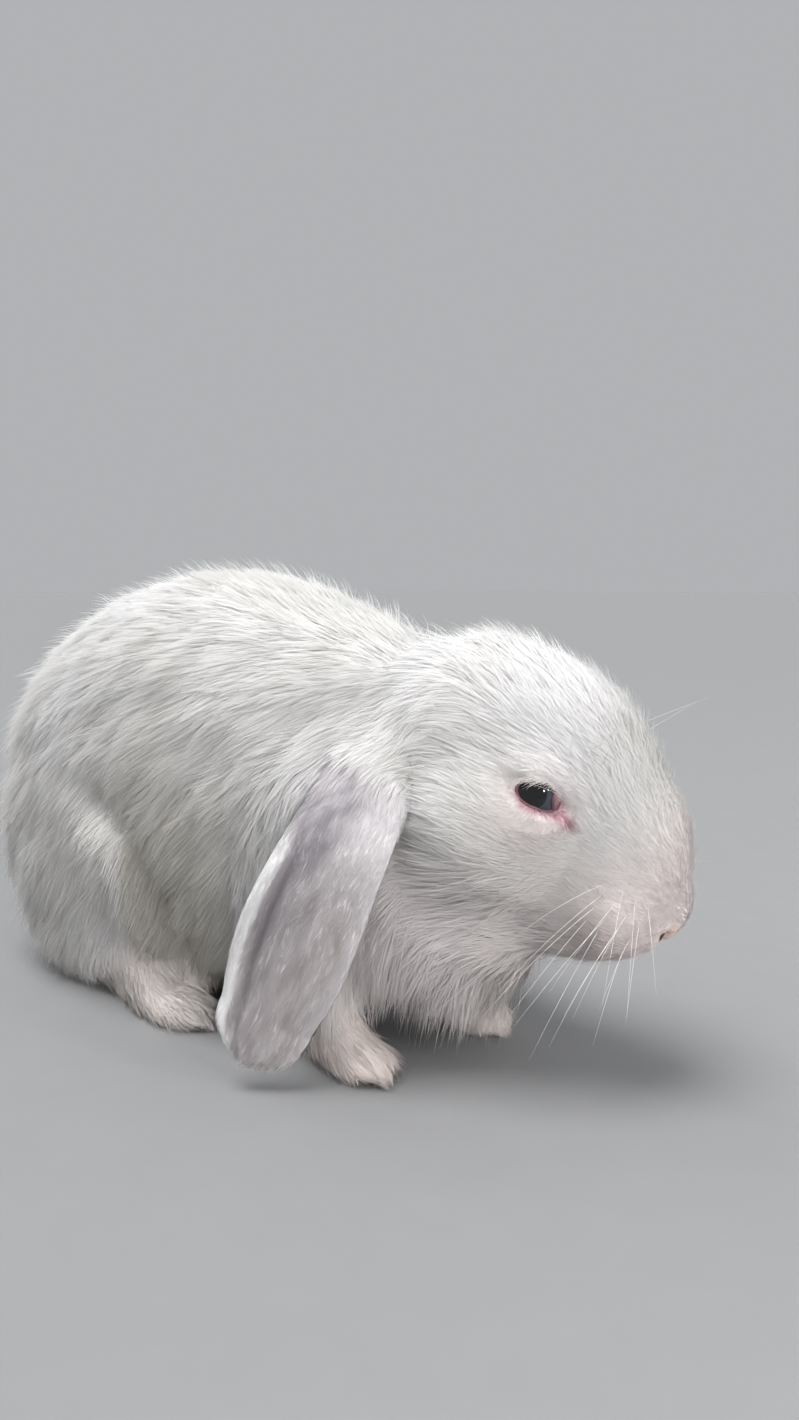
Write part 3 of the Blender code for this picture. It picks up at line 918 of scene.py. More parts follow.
def bare_colours(points, colour):
    """Pink skin at the lids and along the tear line, a dark lid margin with painted shadow above
    the opening, and the nose with its nostrils coloured dark as painted shade.
    """
    x, y, z = in_head(points).T
    for side in SIDES:
        outside, radius, turn, local = lid_measure(points, side)
        close = (radius < EYE_RADIUS / MM + 4) * (local[:, 2] > -6)
        below = ramp(np.sin(turn), 0.55, 0.0)
        rim = ramp(outside, 0.7 + 0.8 * below, 0.3) * close * (0.5 + 0.4 * below)
        colour = mix(mix(colour, TEAR, 0.85 * tear_share(local)), ROSE, rim)
        # Dark lid margin, widening above the opening into a painted shadow under the lashes and brow
        colour = mix(colour, LID_MARGIN_AND_SHADOW, ramp(outside, 0.5 + 1.3 * (1 - below), 0.15) * close)
    colour = mix(colour, NOSE, bare_nose(x, y, z))
    rim = np.clip(2.2 * nostril_share(x, y, z), 0, 1)
    # Painted shade: the nostril's hollow is coloured near black
    return mix(mix(colour, NOSE_EDGE, rim), NOSTRIL_SHADE, ramp(rim, 0.8, 1.0))


# ---------------------------------------------------------------- coat
def ear_root_share(points, side):
    """How near a place on the head is to the root of an ear, over about 20 mm."""
    middle, axes, (start, _), _, _ = EARS[side]
    local = (np.asarray(points) - middle) @ axes.T / MM
    return np.exp(-((local[:, 0] - start / MM - 8) / 20) ** 2 - (local[:, 1] / 20) ** 2
                  - (local[:, 2] / 18) ** 4)


def lie_of_coat(points, normals, labels, mesh):
    """Which way the hair lies: from nose to tail, down the flanks and legs, along the ears.

    Directions given for each part are mixed, laid on the skin and averaged with their neighbours.
    """
    side = np.abs(normals[:, 1])
    low = ramp(points[:, 2], 0.12, 0.03)
    flow = np.stack((-np.ones(len(points)), 0 * side, -(0.12 + 0.8 * side + 0.55 * low)), axis=-1)
    front = ramp(points[:, 0], 0.05, 0.09)
    flow = mix(flow, np.array((-0.25, 0.0, -1.0)), front * ramp(points[:, 2], 0.13, 0.08))
    xh, _, zh = in_head(points).T
    away = unit(points - from_head((99, 0, 2)))
    cheek = toward(-1.0, 0.0, -0.5)
    head_flow = mix(unit(away + toward(-1, 0, 0)), cheek, ramp(zh, 2, -18) * ramp(xh, 72, 40))
    for side_name in SIDES:
        outside, radius, turn, _ = lid_measure(points, side_name)
        away = np.stack((np.cos(turn), np.sin(turn)), axis=-1) @ eye_axes(side_name)[:2]
        near = ramp(radius, EYE_RADIUS / MM + 9, EYE_RADIUS / MM + 5)
        brow = np.array((-0.95, -0.25)) @ eye_axes(side_name)[:2]
        head_flow = mix(head_flow, brow, near * ramp(outside, 9, 3) * ramp(np.sin(turn), 0.2, 0.5))
        head_flow = mix(head_flow, away, near * ramp(outside, 6, 0.5) * ramp(np.sin(turn), 0.3, -0.1))
        head_flow = mix(head_flow, ear_long(side_name), 0.9 * ear_root_share(points, side_name))
    for kind, value in {"head": head_flow, **PART_LIE}.items():
        flow = np.where(is_kind(labels, kind)[:, None], value, flow)
    for side_name in SIDES:
        ear = (labels == FLESH.index(f"ear_{side_name}"))[:, None]
        flow = np.where(ear, ear_long(side_name), flow)
    flow = unit(flow)
    for _ in range(4):
        flow = spread(mesh, flat_on(flow, normals), 4)
    return flat_on(flow, normals)


def unwrap(points, normals, region):
    """Unwrap of the skin's own shape: turn about the region's long axis, and way along it."""
    middle = (points.min(0) + points.max(0)) / 2
    if region == "head":
        along, y, z = in_head(points).T
        turn = np.arctan2(y, z - 2)
    elif region.startswith("ear"):
        side = region.split("_")[1]
        along, across, _ = ear_place(points, side)
        outer = normals @ HEAD_LEFT * sign_of(side) > 0
        turn = across + 2.6 * outer
    elif region.startswith(("fore_leg", "tail")):
        along, turn = points[:, 2], np.arctan2(*(points - middle)[:, :2].T)
    else:
        along, turn = points[:, 0], np.arctan2(*(points - middle)[:, 1:].T)
    turn = (turn - turn.min()) / max(np.ptp(turn), 1e-6)
    along = (along - along.min()) / max(np.ptp(along), 1e-6)
    return 0.01 + 0.97 * np.stack((turn, along), axis=-1)


def scatter(points, triangles, weights, rng):
    """Random roots over the skin, in number by each triangle's area times its weight."""
    a, b, c = (points[triangles[:, k]] for k in range(3))
    area = np.linalg.norm(np.cross(b - a, c - a), axis=1) / 2 / MM**2
    wanted = area * weights[triangles].mean(1)
    total = int(wanted.sum())
    pick = np.searchsorted(np.cumsum(wanted) / wanted.sum(), rng.random(total))
    pick = np.minimum(pick, len(triangles) - 1)
    share = rng.random((total, 2))
    flip = share.sum(1) > 1
    share[flip] = 1 - share[flip]
    return triangles[pick], np.column_stack((1 - share.sum(1), share))


def blend_at(values, corners, share):
    """Values of the skin's vertices at places inside its triangles."""
    return np.einsum("ij,ij...->i...", share, values[corners])


def lock_of(root, size, rng):
    """Number the hairs by lock: cells of a grid that soft waves bend out of line."""
    bend = np.stack([wave(root, 2.6 * size, k) for k in (51, 52, 53)], axis=-1)
    bent = root + 0.45 * size * MM * bend
    keys = np.floor(bent / (size * MM) + rng.uniform(0, 1, 3)).astype(int)
    _, lock = np.unique(keys, axis=0, return_inverse=True)
    return lock.ravel()


def hair_curves(root, normal, lie, length, lift, droop, levels):
    """Curve of each hair: it leaves the skin at one angle and bends over to another.

    The angle goes from lift to droop with the root of the way, and the curve is its sum.
    """
    steps = len(levels) * 4
    t = np.linspace(0, 1, steps + 1)
    angle = lift[:, None] + (droop - lift)[:, None] * np.sqrt(t)[None, :]
    go = np.cumsum(np.cos(angle), axis=1) / steps
    rise = np.cumsum(np.sin(angle), axis=1) / steps
    at = (np.array(levels) * steps).astype(int)
    along = length[:, None] * (go - go[:, :1])[:, at]
    out = length[:, None] * (rise - rise[:, :1])[:, at]
    return root[:, None, :] + along[..., None] * lie[:, None, :] + out[..., None] * normal[:, None, :]


def gather(curves, lock, levels, pull):
    """Draw hairs towards the middle of their lock, the more so the nearer the tip."""
    members = np.bincount(lock)
    for k in range(1, len(levels)):
        middle = np.stack([np.bincount(lock, curves[:, k, c]) for c in range(3)], axis=-1)
        curves[:, k] += pull * levels[k] ** 1.6 * (middle[lock] / members[lock, None] - curves[:, k])
    return curves


def blades_mesh(name, curves, side, width, shades, normals, patch):
    """Flat tapered blades along curves: quads up each hair and one triangle at its tip.

    At each level but the last, two corners stand half the tapered width to either side. The hair's
    patch of the OFBake map is UV_PATCH wide at its root's place on the unwrapped skin.
    """
    count, levels = curves.shape[:2]
    taper = np.interp(np.arange(levels - 1) / (levels - 1), (0, 0.4, 1), (1.0, 0.9, 0.45))
    half = 0.5 * width[:, None, None] * taper[None, :, None] * side[:, None, :]
    ladder = np.stack((curves[:, :-1] - half, curves[:, :-1] + half), axis=2)
    verts = np.concatenate((ladder.reshape(count, -1, 3), curves[:, -1:]), axis=1)
    per = verts.shape[1]
    quads = [np.array((2 * k, 2 * k + 1, 2 * k + 3, 2 * k + 2)) for k in range(levels - 2)]
    pattern = np.concatenate(quads + [np.array((per - 3, per - 2, per - 1))])
    sizes = np.tile([4] * len(quads) + [3], count)
    loops = (np.arange(count)[:, None] * per + pattern[None, :]).ravel()
    mesh = bpy.data.meshes.new(name)
    mesh.vertices.add(count * per)
    mesh.vertices.foreach_set("co", verts.astype(np.float32).ravel())
    mesh.loops.add(len(loops))
    mesh.loops.foreach_set("vertex_index", loops.astype(np.int32))
    mesh.polygons.add(len(sizes))
    mesh.polygons.foreach_set("loop_start", (np.cumsum(sizes) - sizes).astype(np.int32))
    mesh.update(calc_edges=True)
    level = np.append(np.repeat(np.arange(levels - 1), 2), levels - 1) / (levels - 1)
    hand = np.append(np.tile((-0.5, 0.5), levels - 1), 0.0)
    local = np.stack((hand, level - 0.5), axis=-1) * UV_PATCH
    uv = (patch[:, None, :] + local[None, :, :]).reshape(-1, 2)[loops]
    mesh.uv_layers.new(name="OFBake").uv.foreach_set("vector", uv.astype(np.float32).ravel())
    # Painted shade: each hair darkens by 7% towards its root, down in the coat
    shaded = shades[:, None, :] * (0.93 + 0.07 * level)[None, :, None]
    set_colours(mesh, shaded.reshape(-1, 3))
    lie = mesh.attributes.new("coat_normal", "FLOAT_VECTOR", "POINT")
    lie.data.foreach_set("vector", np.repeat(normals, per, axis=0).astype(np.float32).ravel())
    mesh.shade_smooth()
    return mesh


def region_of(labels, points):
    """Each hair's piece of the coat: its node, and front or rear and the side on the trunk."""
    names = np.array(FLESH)[labels].astype(object)
    trunk = names == "trunk"
    half = np.where(points[:, 0] > TRUNK_SPLIT, "_front", "_rear")
    side = np.where(points[:, 1] > 0, "_left", "_right")
    names[trunk] = "trunk" + half[trunk].astype(object) + side[trunk].astype(object)
    return names.astype(str)


def coat_field(mesh, points, normals, labels):
    """What the coat follows at each vertex of the skin: lie, length scale, density and colour.

    It is thin under the body, in the ears and on the nose, long at the ears' roots and low on the
    chest, pressed short where an ear lies on it, and short, close and pink at the lids.
    """
    flow = lie_of_coat(points, normals, labels, mesh)
    scale = spread(mesh, np.where(is_kind(labels, "head"), head_scale(points), 1.0), 6)
    density = 1 - 0.6 * ramp(-normals[:, 2], 0.5, 0.9) * ~is_kind(labels, "head")
    fringe = ramp(points[:, 0], 0.05, 0.08) * ramp(points[:, 2], 0.065, 0.035)
    scale = scale + 0.5 * fringe * ramp(points[:, 1], 0.025, 0.0)
    for side in SIDES:
        ear = labels == FLESH.index(f"ear_{side}")
        inner = ramp(normals @ HEAD_LEFT * sign_of(side), 0.0, -0.3)
        density = np.where(ear, density * (1 - 0.6 * inner), density)
        down, across, out = ear_place(points, side)
        scale = scale + 1.2 * ramp(down, 0.42, 0.18) * ear
        scale = scale + 0.3 * ear_root_share(points, side) * is_kind(labels, "head")
        under = (np.abs(across) < 1.15) & (down > 0.2) & (down < 1) & (out < 0) & ~ear
        scale = np.where(under, scale * ramp_line(-out, 2.0, 15.0), scale)
        density = np.where(under, density * ramp(-out, 2.5, 7), density)
    colour = coat_colours(points, labels)
    for side in SIDES:
        outside, radius, turn, local = lid_measure(points, side)
        close = (radius < EYE_RADIUS / MM + 6) & (local[:, 2] > -6)
        below = ramp(np.sin(turn), 0.55, 0.0)
        closer = density * ramp(outside, 0.2, 0.8) * (1 + 0.6 * ramp(outside, 6, 2))
        shorter = scale * ramp_line(outside, 0.0, 6.0) + 0.35 * ramp(outside, 6, 0)
        density, scale = np.where(close, closer, density), np.where(close, shorter, scale)
        density *= 1 - 0.6 * tear_share(local)
        rear = ramp(np.cos(turn), -0.5, -0.9)
        pink = ramp(outside, 1.7, 0.5) * close * below * (1 - 0.6 * rear) + tear_share(local)
        colour = mix(colour, TEAR, 0.85 * np.clip(pink, 0, 1))
    x, y, z = in_head(points).T
    nose = bare_nose(x, y, z)
    density *= 1 - np.clip(0.6 * nose + 1.5 * nostril_share(x, y, z), 0, 1)
    scale = scale * (1 - 0.5 * nose)
    return flow, scale, density, colour


def hair_angles(normal, label, lock_turn, looks, rng):
    """Lift at the root and droop at the tip of each hair, in radians.

    Both are the layer's own, times how steeply hair stands on that part: low on the ears, high on
    the feet, the crown and the throat. Locks and single hairs vary, and a few hairs fly away.
    """
    count = len(label)
    steep = np.where(is_kind(label, "ear"), 0.5, np.where(is_kind(label, "head"), 0.9, 1.0))
    steep = steep + 0.35 * (is_kind(label, "fore_paw") + is_kind(label, "hind_foot"))
    steep = steep + 0.6 * is_kind(label, "head") * ramp(np.abs(normal @ HEAD_AXES[2]), 0.55, 0.95)
    stand = 1 + 0.2 * rng.normal(size=count) + looks["stand"] * np.clip(lock_turn[:, 1], -1.5, 2)
    lift = np.radians(looks["lift"] * steep * stand)
    droop = np.radians(looks["droop"] * steep * (1 + 0.5 * rng.normal(size=count)))
    flies = rng.random(count) < looks["fly"] * (1 + 2 * is_kind(label, "head"))
    return lift + 0.4 * flies, droop + 0.5 * flies


def shading_of(normal, lie, label, lock_turn, looks, rng):
    """The direction that shades each hair: the skin's own, leant a little and roughened.

    It leans against the lie on the head and along it elsewhere, and both locks and single hairs
    roughen it. Under the head and neck it is turned upwards, as light comes through hanging hair.
    """
    lean = np.where(is_kind(label, "head"), -0.16, 0.22)[:, None]
    soft = unit(normal + lean * lie + looks["rough"] * (0.6 * lock_turn + rng.normal(size=lie.shape)))
    hanging = ramp(-normal[:, 2], 0.1, 0.8) * (is_kind(label, "head") | is_kind(label, "neck"))
    return unit(soft + 0.75 * hanging[:, None] * UP)


def pieces_of(layer, label, root, normal, levels, blades):
    """The layer's meshes by coat piece, each of them under MOST_TRIANGLES, from rear to front.

    blades holds each hair's curve, side, width, shade and shading direction.
    """
    regions = region_of(label, root)
    most = MOST_TRIANGLES // (2 * len(levels) - 3)
    pieces = {}
    for region in sorted(set(regions)):
        pick = np.flatnonzero(regions == region)
        patch = unwrap(root[pick], normal[pick], region)
        order = np.argsort(root[pick, 0])
        for number, part in enumerate(np.array_split(order, -(-len(pick) // most))):
            name = f"{layer}_{region}_{number + 1}"
            chosen = [values[pick[part]] for values in blades]
            pieces[name] = blades_mesh(name, *chosen, patch[part])
    return pieces


def layer_of_coat(layer, table, field, skin, levels, rng, looks):
    """One layer of hairs over the whole skin, as a dictionary of meshes by coat piece.

    Roots are scattered by density. Each hair takes the coat's lie, turned a little with its lock
    and with broad waves, and is lifted, bent, drawn to its lock and kept above the floor.
    """
    points, normals, triangles, labels = skin
    flow, scale, density, colour = field
    thin = 1.0
    weights = density * per_node(labels, table, 1) * thin / np.clip(scale, 0.62, 1.3)
    corners, share = scatter(points, triangles, weights, rng)
    root = blend_at(points, corners, share)
    normal = unit(blend_at(normals, corners, share))
    lie = blend_at(flow, corners, share)
    label = labels[corners[:, 0]]
    long = per_node(label, table, 0) * blend_at(scale, corners, share)
    count = len(root)

    lock = lock_of(root, looks["lock"], rng)
    lock_turn = rng.normal(size=(lock.max() + 1, 3))[lock]
    broad = np.stack([wave(root, 17, seed) for seed in (11, 12, 13)], axis=-1)
    lie = lie + 0.16 * broad + looks["stray"] * (lock_turn + 0.5 * rng.normal(size=(count, 3)))
    lie = flat_on(lie, normal)
    lift, droop = hair_angles(normal, label, lock_turn, looks, rng)
    reach = long * rng.uniform(0.72, 1.1, count) * MM
    roll = 0.35 * rng.normal(size=count)
    side = np.cross(lie, normal)
    side = unit(np.cos(roll)[:, None] * side + np.sin(roll)[:, None] * normal)
    width = HAIR_WIDTH * looks["width"] * MM * np.clip(long / 10.5, 0.3, 1.0)
    width = width * rng.uniform(0.7, 1.2, count)
    tone = 1 + looks["vary"] * (rng.normal(size=(count, 1)) + 0.6 * lock_turn[:, :1])
    shade = np.clip(blend_at(colour, corners, share) * tone * looks["tone"], 0, 0.95)
    soft = shading_of(normal, lie, label, lock_turn, looks, rng)

    curves = hair_curves(root, normal, lie, reach, lift, droop, levels)
    curves = gather(curves, lock, levels, looks["pull"])
    curves[..., 2] = np.maximum(curves[..., 2], 0.3 * MM)
    return pieces_of(layer, label, root, normal, levels, (curves, side, width, shade, soft))


def build_coat(item, labels, material, ear_material):
    """Underfur and guard hairs, as separate pieces for each region of the body."""
    rng = np.random.default_rng(7)
    mesh = item.data
    points, triangles = points_of(mesh), triangles_of(mesh)
    normals = unit(spread(mesh, normals_of(mesh), 3))
    field = coat_field(mesh, points, normals, labels)
    skin = (points, normals, triangles, labels)
    pieces = {}
    for layer, table, levels, looks in (("underfur", UNDERFUR, UNDERFUR_LEVELS, UNDERFUR_LOOKS),
                                        ("guard_hair", GUARD_HAIR, GUARD_LEVELS, GUARD_LOOKS)):
        pieces |= layer_of_coat(layer, table, field, skin, levels, rng, looks)
    return [add_object(name, blades, ear_material if "_ear_" in name else material)
            for name, blades in pieces.items()]


# ---------------------------------------------------------------- eyes
def build_eye(side, material):
    """Eyeball: a sphere with a slightly raised cornea; iris and pupil are rings about its axis.

    Radius over the angle a from the axis is R - 0.25 mm + 0.35 mm * exp(-(a / 40 degrees)^4).
    """
    gaze = toward(-0.12, sign_of(side) * 0.95, 0.22)
    across = unit(np.cross(gaze, UP))
    rise = np.cross(across, gaze)
    angle = np.linspace(0.004, math.pi - 0.004, 96)
    turn = np.linspace(0, 2 * math.pi, 128, endpoint=False)
    radius = EYE_RADIUS - 0.25 * MM + 0.35 * MM * np.exp(-(np.degrees(angle) / 40) ** 4)
    ring = np.cos(turn)[:, None] * across + np.sin(turn)[:, None] * rise
    points = (np.cos(angle)[:, None, None] * gaze + np.sin(angle)[:, None, None] * ring[None])
    mesh = grid_mesh(f"eyeball_{side}", EYE_AT[side] + points * radius[:, None, None], wrap_v=True)
    reach = np.degrees(np.repeat(angle, len(turn)))
    around = np.tile(turn, len(angle))
    fibre = 0.5 + 0.5 * np.sin(around * 41 + 3 * np.sin(around * 7)) * np.sin(around * 23)
    iris = mix(IRIS_DARK, IRIS_PALE, 0.6 * fibre)
    iris = mix(iris, IRIS_RIM, ramp(reach, *IRIS_RING))
    colour = mix(PUPIL, iris, ramp(reach, *PUPIL_EDGE))
    set_colours(mesh, mix(colour, EYE_BACK, ramp(reach, *IRIS_EDGE)))
    ball = add_object(f"eyeball_{side}", tidy_mesh(mesh), material)
    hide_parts(f"eye_{side}")
    return ball


def on_eye(side, x, y, height):
    """Places on the eyeball by slit coordinates along it, at a height over it, in millimetres."""
    axes = eye_axes(side)
    size = EYE_RADIUS / MM
    reach = np.hypot(x, y)
    tilt = reach / size
    flat = (np.asarray(x)[..., None] * axes[0] + np.asarray(y)[..., None] * axes[1])
    flat = flat / np.maximum(reach, 1e-9)[..., None]
    direction = np.sin(tilt)[..., None] * flat + np.cos(tilt)[..., None] * axes[2]
    return EYE_AT[side] + direction * (size + np.asarray(height))[..., None] * MM


def build_lid_rim(side, material):
    """Moist lid margin: a round cord laid on the eyeball along the opening's edge.

    Its radius is RIM_RADIUS, a little more or less in 19 waves round the opening.
    """
    turn = np.linspace(0, 2 * math.pi, 140, endpoint=False)
    reach = lid_reach(turn) + 0.3
    middle = on_eye(side, reach * np.cos(turn), reach * np.sin(turn), 0.42)
    outward = unit(middle - EYE_AT[side])
    along = unit(np.roll(middle, -1, axis=0) - np.roll(middle, 1, axis=0))
    across = np.cross(outward, along)
    around = np.linspace(0, 2 * math.pi, 10, endpoint=False)
    wobble = (RIM_RADIUS + 0.04 * np.sin(turn * 19)) * MM
    offset = (np.cos(around)[None, :, None] * across[:, None]
              + np.sin(around)[None, :, None] * outward[:, None])
    points = middle[:, None] + offset * wobble[:, None, None]
    mesh = tidy_mesh(grid_mesh(f"lid_rim_{side}", points, wrap_u=True, wrap_v=True))
    patches = 0.5 + 0.5 * np.clip(wave(points_of(mesh), 2.5, 21), -1, 1)
    set_colours(mesh, mix(RIM_DARK, RIM_PALE, patches))
    return add_object(f"lid_rim_{side}", mesh, material)


def build_third_lid(side, material):
    """Third eyelid: a thin sheet on the eyeball from a slanting free edge to the front corner.

    At height v the sheet runs from x = 5.0 - 0.52 v + 0.07 (v - 1)^2 to a circle 9.2 mm about the
    opening's middle, 0.3 to 0.6 mm over the eyeball, with its edge turned down and a second sheet
    0.4 mm under it. Its colour darkens as painted shade at the free edge and along a fold 2.4 mm in.
    """
    v = np.linspace(-4.2, 5.6, 26)[:, None]
    u = np.linspace(0, 1, 22)[None, :]
    free = 5.0 - 0.52 * v + 0.07 * (v - 1) ** 2
    front = np.sqrt(np.clip(9.2**2 - v**2, 1, None)) + 0 * u
    x = free + (front - free) * u
    y = v + 0 * u
    height = 0.30 + 0.25 * u - 0.22 * (1 - u) ** 8 + 0.05 * np.sin(v * 2.1 + 4 * u)
    under = on_eye(side, x, y, height - 0.4)[:, ::-1]
    shell = np.concatenate((on_eye(side, x, y, height), under), axis=1)
    mesh = tidy_mesh(grid_mesh(f"third_lid_{side}", shell, wrap_v=True))
    _, _, _, local = lid_measure(points_of(mesh), side)
    # Painted shade: the third lid darkens at its free edge and in a thin line along a fold
    tint = np.clip(0.6 + 0.25 * wave(points_of(mesh), 2.2, 5) + 0.1 * (local[:, 1] - 1), 0, 1)
    inward = local[:, 0] - 5.0 + 0.52 * local[:, 1]
    tint *= ramp(inward, 0.2, 1.4) * (1 - 0.7 * np.exp(-((inward - 2.4) / 0.35) ** 2))
    set_colours(mesh, mix(THIRD_LID_SHADE, LID_PALE, tint))
    return add_object(f"third_lid_{side}", mesh, material)


# ---------------------------------------------------------------- whiskers, lashes and claws
def build_tubes(name, curves, radius, round_count, material):
    """Round tapered tubes along curves [hair, level, xyz], closed at both ends.

    At each level a ring of points stands about the curve, at the radius times 1 - 0.86 * way^1.3.
    """
    count, levels = curves.shape[:2]
    along = unit(np.gradient(curves, axis=1))
    guide = np.where(np.abs(along[..., 2:]) > 0.9, np.array((1.0, 0, 0)), UP)
    side = unit(np.cross(along, guide))
    other = np.cross(side, along)
    turn = np.linspace(0, 2 * math.pi, round_count, endpoint=False)
    taper = 1 - 0.86 * np.linspace(0, 1, levels) ** 1.3
    ring = (np.cos(turn)[None, None, :, None] * side[:, :, None]
            + np.sin(turn)[None, None, :, None] * other[:, :, None])
    points = curves[:, :, None] + ring * (radius * taper)[None, :, None, None]
    index = np.arange(count * levels * round_count).reshape(count, levels, round_count)
    following = np.roll(index, -1, axis=2)
    walls = np.stack((index[:, :-1], following[:, :-1], following[:, 1:], index[:, 1:]), axis=-1)
    faces = walls.reshape(-1, 4).tolist()
    faces += index[:, 0, ::-1].tolist() + index[:, -1].tolist()
    mesh = bpy.data.meshes.new(name)
    mesh.from_pydata(points.reshape(-1, 3).tolist(), [], faces)
    mesh.update()
    return add_object(name, tidy_mesh(mesh), material)


def bent_hairs(roots, headings, lengths, sag, levels=14):
    """Long hairs: straight out of the skin, then bending down with the square of the way."""
    t = np.linspace(0, 1, levels)[None, :, None]
    lengths = lengths[:, None, None]
    return roots[:, None] + headings[:, None] * t * lengths - UP * sag[:, None, None] * lengths * t**2


def skin_at(tree, place, sign):
    """Where a line from the side, in towards the head's middle, meets the skin."""
    hit = tree.ray_cast(Vector(from_head((place[0], sign * 45, place[1]))), Vector(-sign * HEAD_LEFT))
    return np.array(hit[0])


def build_whiskers(tree, material):
    """Whiskers in four rows of four on each pad, and three long hairs over each brow."""
    rng = np.random.default_rng(31)
    roots, headings, lengths, sag = [], [], [], []
    for sign in (-1, 1):
        for row in range(WHISKER_ROWS):
            for column in range(WHISKER_ROWS):
                ahead = WHISKER_START[0] - WHISKER_GAP * column + 0.6 * row
                roots.append(skin_at(tree, (ahead, WHISKER_START[1] - WHISKER_GAP * row), sign))
                aim = np.array((0.45 - 0.2 * column - 0.04 * row, sign * 0.85, -0.3 - 0.2 * row))
                aim += (sign > 0) * np.array((0.15, 0.0, 0.6))
                headings.append(toward(*(aim + 0.12 * rng.normal(size=3))))
                reach = WHISKER_LENGTH + 6.0 * column + rng.uniform(-4, 8)
                lengths.append(reach * (1.0 if sign < 0 else 0.7))
                sag.append(0.10 + rng.uniform(-0.06, 0.08))
        for ahead, above, reach, lean in BROW_HAIRS:
            roots.append(skin_at(tree, (ahead, above), sign))
            headings.append(toward(lean - 0.35 * (sign < 0), sign * 0.6, 0.7))
            lengths.append(reach * (0.65 if sign < 0 else 1.0))
            sag.append(0.03)
    curves = bent_hairs(np.array(roots), np.array(headings), np.array(lengths) * MM, np.array(sag))
    curves[..., 2] = np.maximum(curves[..., 2], 0.5 * MM)
    return build_tubes("whiskers", curves, WHISKER_RADIUS * MM, 5, material)


def build_lashes(side, material):
    """Fine hairs of the upper lid, lying back and down over the opening, and one long one.

    They are kept 0.35 mm clear of the eyeball by pushing their points out along its radii.
    """
    rng = np.random.default_rng(41)
    count = LASH_COUNT
    turn = math.pi * (0.99 - 0.83 * rng.uniform(0, 1, count) ** 1.5)
    reach = lid_reach(turn) + rng.uniform(0.1, 1.6, count)
    root = on_eye(side, reach * np.cos(turn), reach * np.sin(turn), 0.9)
    axes = eye_axes(side)
    outward = unit(root - EYE_AT[side])
    lean = np.array((-0.55, -0.62, 0.3)) + rng.normal(size=(count, 3)) * np.array((0.15, 0.16, 0.1))
    heading = lean @ axes
    along = np.sum(heading * outward, axis=1, keepdims=True)
    heading = unit(heading - outward * along + 0.22 * outward)
    lengths = rng.uniform(*LASH_LENGTHS, count) * (0.55 + 0.45 * ramp(turn, 0.8, 1.8))
    root = np.vstack((root, on_eye(side, np.array((6.4,)), np.array((3.6,)), 1.0)))
    heading = np.vstack((heading, unit(np.array((-1.0, -0.1, 0.32)) @ axes)))
    lengths = np.append(lengths, LONG_LASH) * MM
    curves = bent_hairs(root, heading, lengths, np.full(len(lengths), 0.1), levels=7)
    out = curves - EYE_AT[side]
    far = np.linalg.norm(out, axis=-1, keepdims=True)
    curves = EYE_AT[side] + out * np.maximum(far, EYE_RADIUS + 0.35 * MM) / far
    return build_tubes(f"lashes_{side}", curves, LASH_RADIUS * MM, 4, material)


def build_claws(material):
    """Claws: curved cones, four to a foot, set in the toe tips and pointing forwards and down."""
    curves = []
    t = np.linspace(0, 1, 8)[:, None]
    for node in FEET:
        front, middle = box_of(node)[1][0], front_middle(node)
        reach = CLAW_REACH[kind_of(node)]
        for toe in TOES:
            back = (5.4 + 0.9 * toe * toe) * MM
            start = np.array((front - back, middle + toe * CLAW_GAP * MM, CLAW_HEIGHT * MM))
            way = reach * t * np.array((1.0, 0.05 * toe, 0.0)) - np.array((0, 0, 2.2)) * t**1.7
            curves.append(start + MM * way)
    return build_tubes("claws", np.array(curves), CLAW_RADIUS * MM, 8, material)


# ---------------------------------------------------------------- camera, lights and floor
def build_stage():
    """Plain pale floor, wide and matt, with faint flecks about 17 mm apart."""
    made, tree = new_material("matt_painted_floor")
    place = add_node(tree, "ShaderNodeTexCoord")
    fleck = add_node(tree, "ShaderNodeTexNoise", {"Scale": 60.0, "Detail": 5.0},
                     {"Vector": place.outputs["Object"]})
    tint = add_node(tree, "ShaderNodeValToRGB", {}, {"Fac": fleck.outputs[0]})
    tint.color_ramp.elements[0].color = (*linear("#848586"), 1)
    tint.color_ramp.elements[1].color = (*linear("#89898a"), 1)
    shader = add_node(tree, "ShaderNodeBsdfPrincipled", {"Roughness": 0.85},
                      {"Base Color": tint.outputs[0]})
    add_node(tree, "ShaderNodeOutputMaterial", {}, {"Surface": shader.outputs[0]})
    across, along = np.meshgrid(np.linspace(-20, 20, 3), np.linspace(-20, 20, 3))
    level = np.stack((along, across, 0 * across), axis=-1)
    add_object("floor", grid_mesh("floor", level), made)


def add_lamp(kind, name, place, power, size, colour):
    """A lamp that looks at the rabbit's middle; only the catch lights are seen in its wet eyes."""
    data = bpy.data.lights.new(name, kind)
    data.energy = power
    data.color = colour
    if kind == "SUN":
        data.angle = math.radians(size)
    else:
        data.size = size
    lamp = bpy.data.objects.new(name, data)
    bpy.context.scene.collection.objects.link(lamp)
    lamp.location = place
    lamp.visible_glossy = kind == "AREA"
    lamp.rotation_euler = (Vector((0.05, 0, 0.08)) - Vector(place)).to_track_quat("-Z", "Y").to_euler()


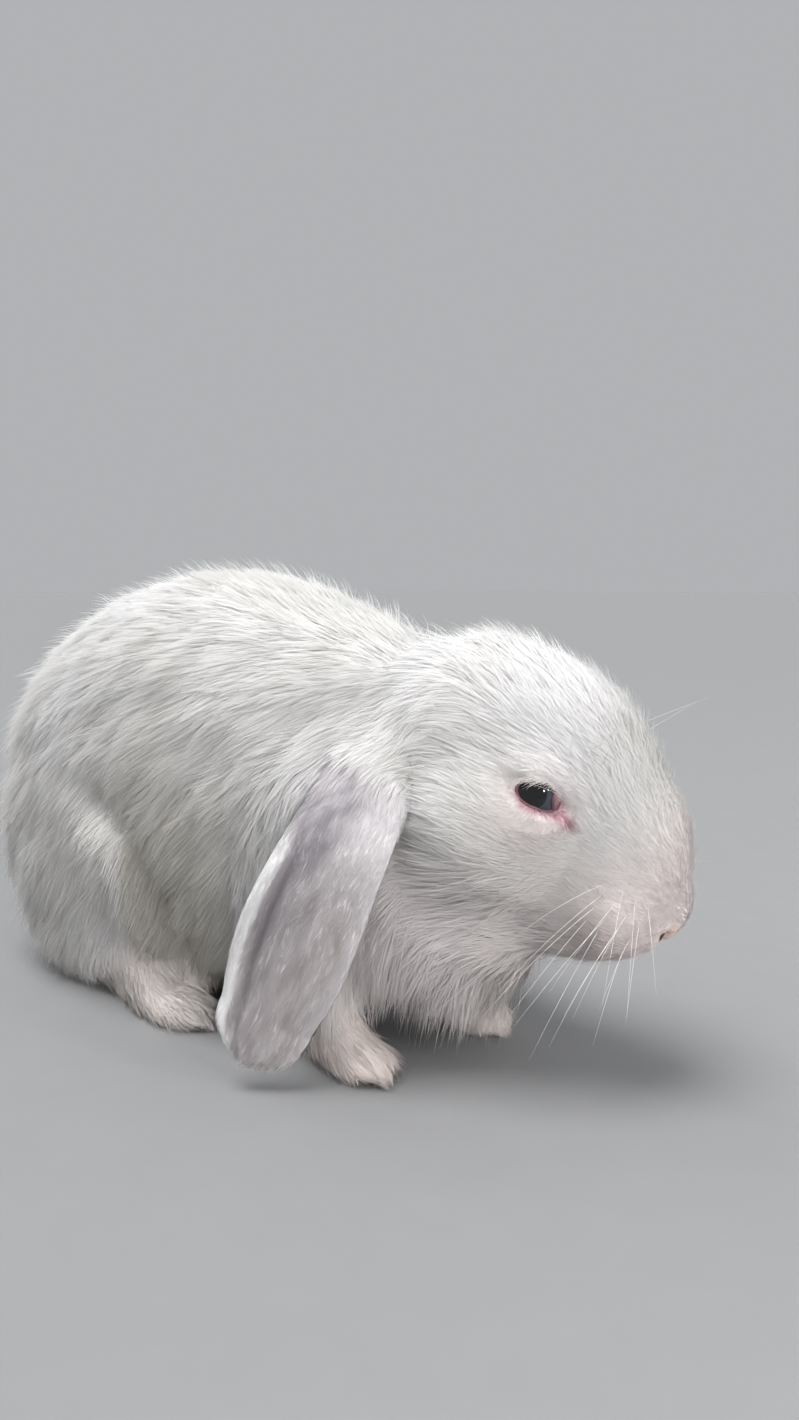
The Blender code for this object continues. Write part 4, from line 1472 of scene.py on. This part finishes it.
def build_lights():
    """A soft sky, a high key over its right side, three broad fills and two catch lights."""
    world = bpy.data.worlds.new("soft_studio")
    bpy.context.scene.world = world
    world.use_nodes = True
    background = world.node_tree.nodes["Background"]
    background.inputs["Color"].default_value = SKY_COLOUR
    background.inputs["Strength"].default_value = SKY_STRENGTH
    for lamp in LAMPS:
        add_lamp(*lamp)


def build_camera():
    """A camera at the height of the rabbit's crown, looking down a little."""
    data = bpy.data.cameras.new("camera")
    data.sensor_fit = "VERTICAL"
    data.sensor_height = 36.0
    data.lens = CAMERA_LENS
    data.clip_start = 0.01
    camera = bpy.data.objects.new("camera", data)
    bpy.context.scene.collection.objects.link(camera)
    heading, tilt = math.radians(CAMERA_HEADING), math.radians(CAMERA_TILT)
    look = Vector((math.cos(heading) * math.cos(tilt), math.sin(heading) * math.cos(tilt),
                   -math.sin(tilt)))
    camera.location = CAMERA_PLACE
    camera.rotation_euler = look.to_track_quat("-Z", "Y").to_euler()
    bpy.context.scene.camera = camera


def main():
    """Build the stage, the skin with its coat, the eyes, whiskers and claws, and slot each piece."""
    build_camera()
    build_lights()
    build_stage()
    bpy.context.scene.view_settings.view_transform = "Standard"

    skin, labels = build_skin()
    points = points_of(skin.data)
    set_colours(skin.data, bare_colours(points, coat_colours(points, labels)))
    skin.data.materials.append(skin_material())
    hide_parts(*FLESH)

    long_hair = coat_material("fine_white_hair", 0.34)
    velvet = coat_material("ear_velvet", 0.06)
    coat = build_coat(skin, labels, long_hair, velvet)
    cornea = wet_material("wet_cornea", 0.07, 0.7)
    moist = wet_material("moist_lid", 0.4, 0.3, 0.5)
    hair = horn_material("whisker_keratin", "#e2ddd8", "#f3f1ee", 6.0)
    horn = horn_material("claw_horn", "#c9b3a2", "#e4d6c8", 1.2)
    eyes, lashes = [], []
    for side in SIDES:
        eyes += [build_eye(side, cornea), build_lid_rim(side, moist), build_third_lid(side, moist)]
        lashes.append(build_lashes(side, hair))
    tree = BVHTree.FromPolygons(points.tolist(), triangles_of(skin.data).tolist())
    whiskers = build_whiskers(tree, hair)
    claws = build_claws(horn)

    for piece in [skin, *coat, *eyes, *lashes, whiskers, claws]:
        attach(piece, "root")


main()
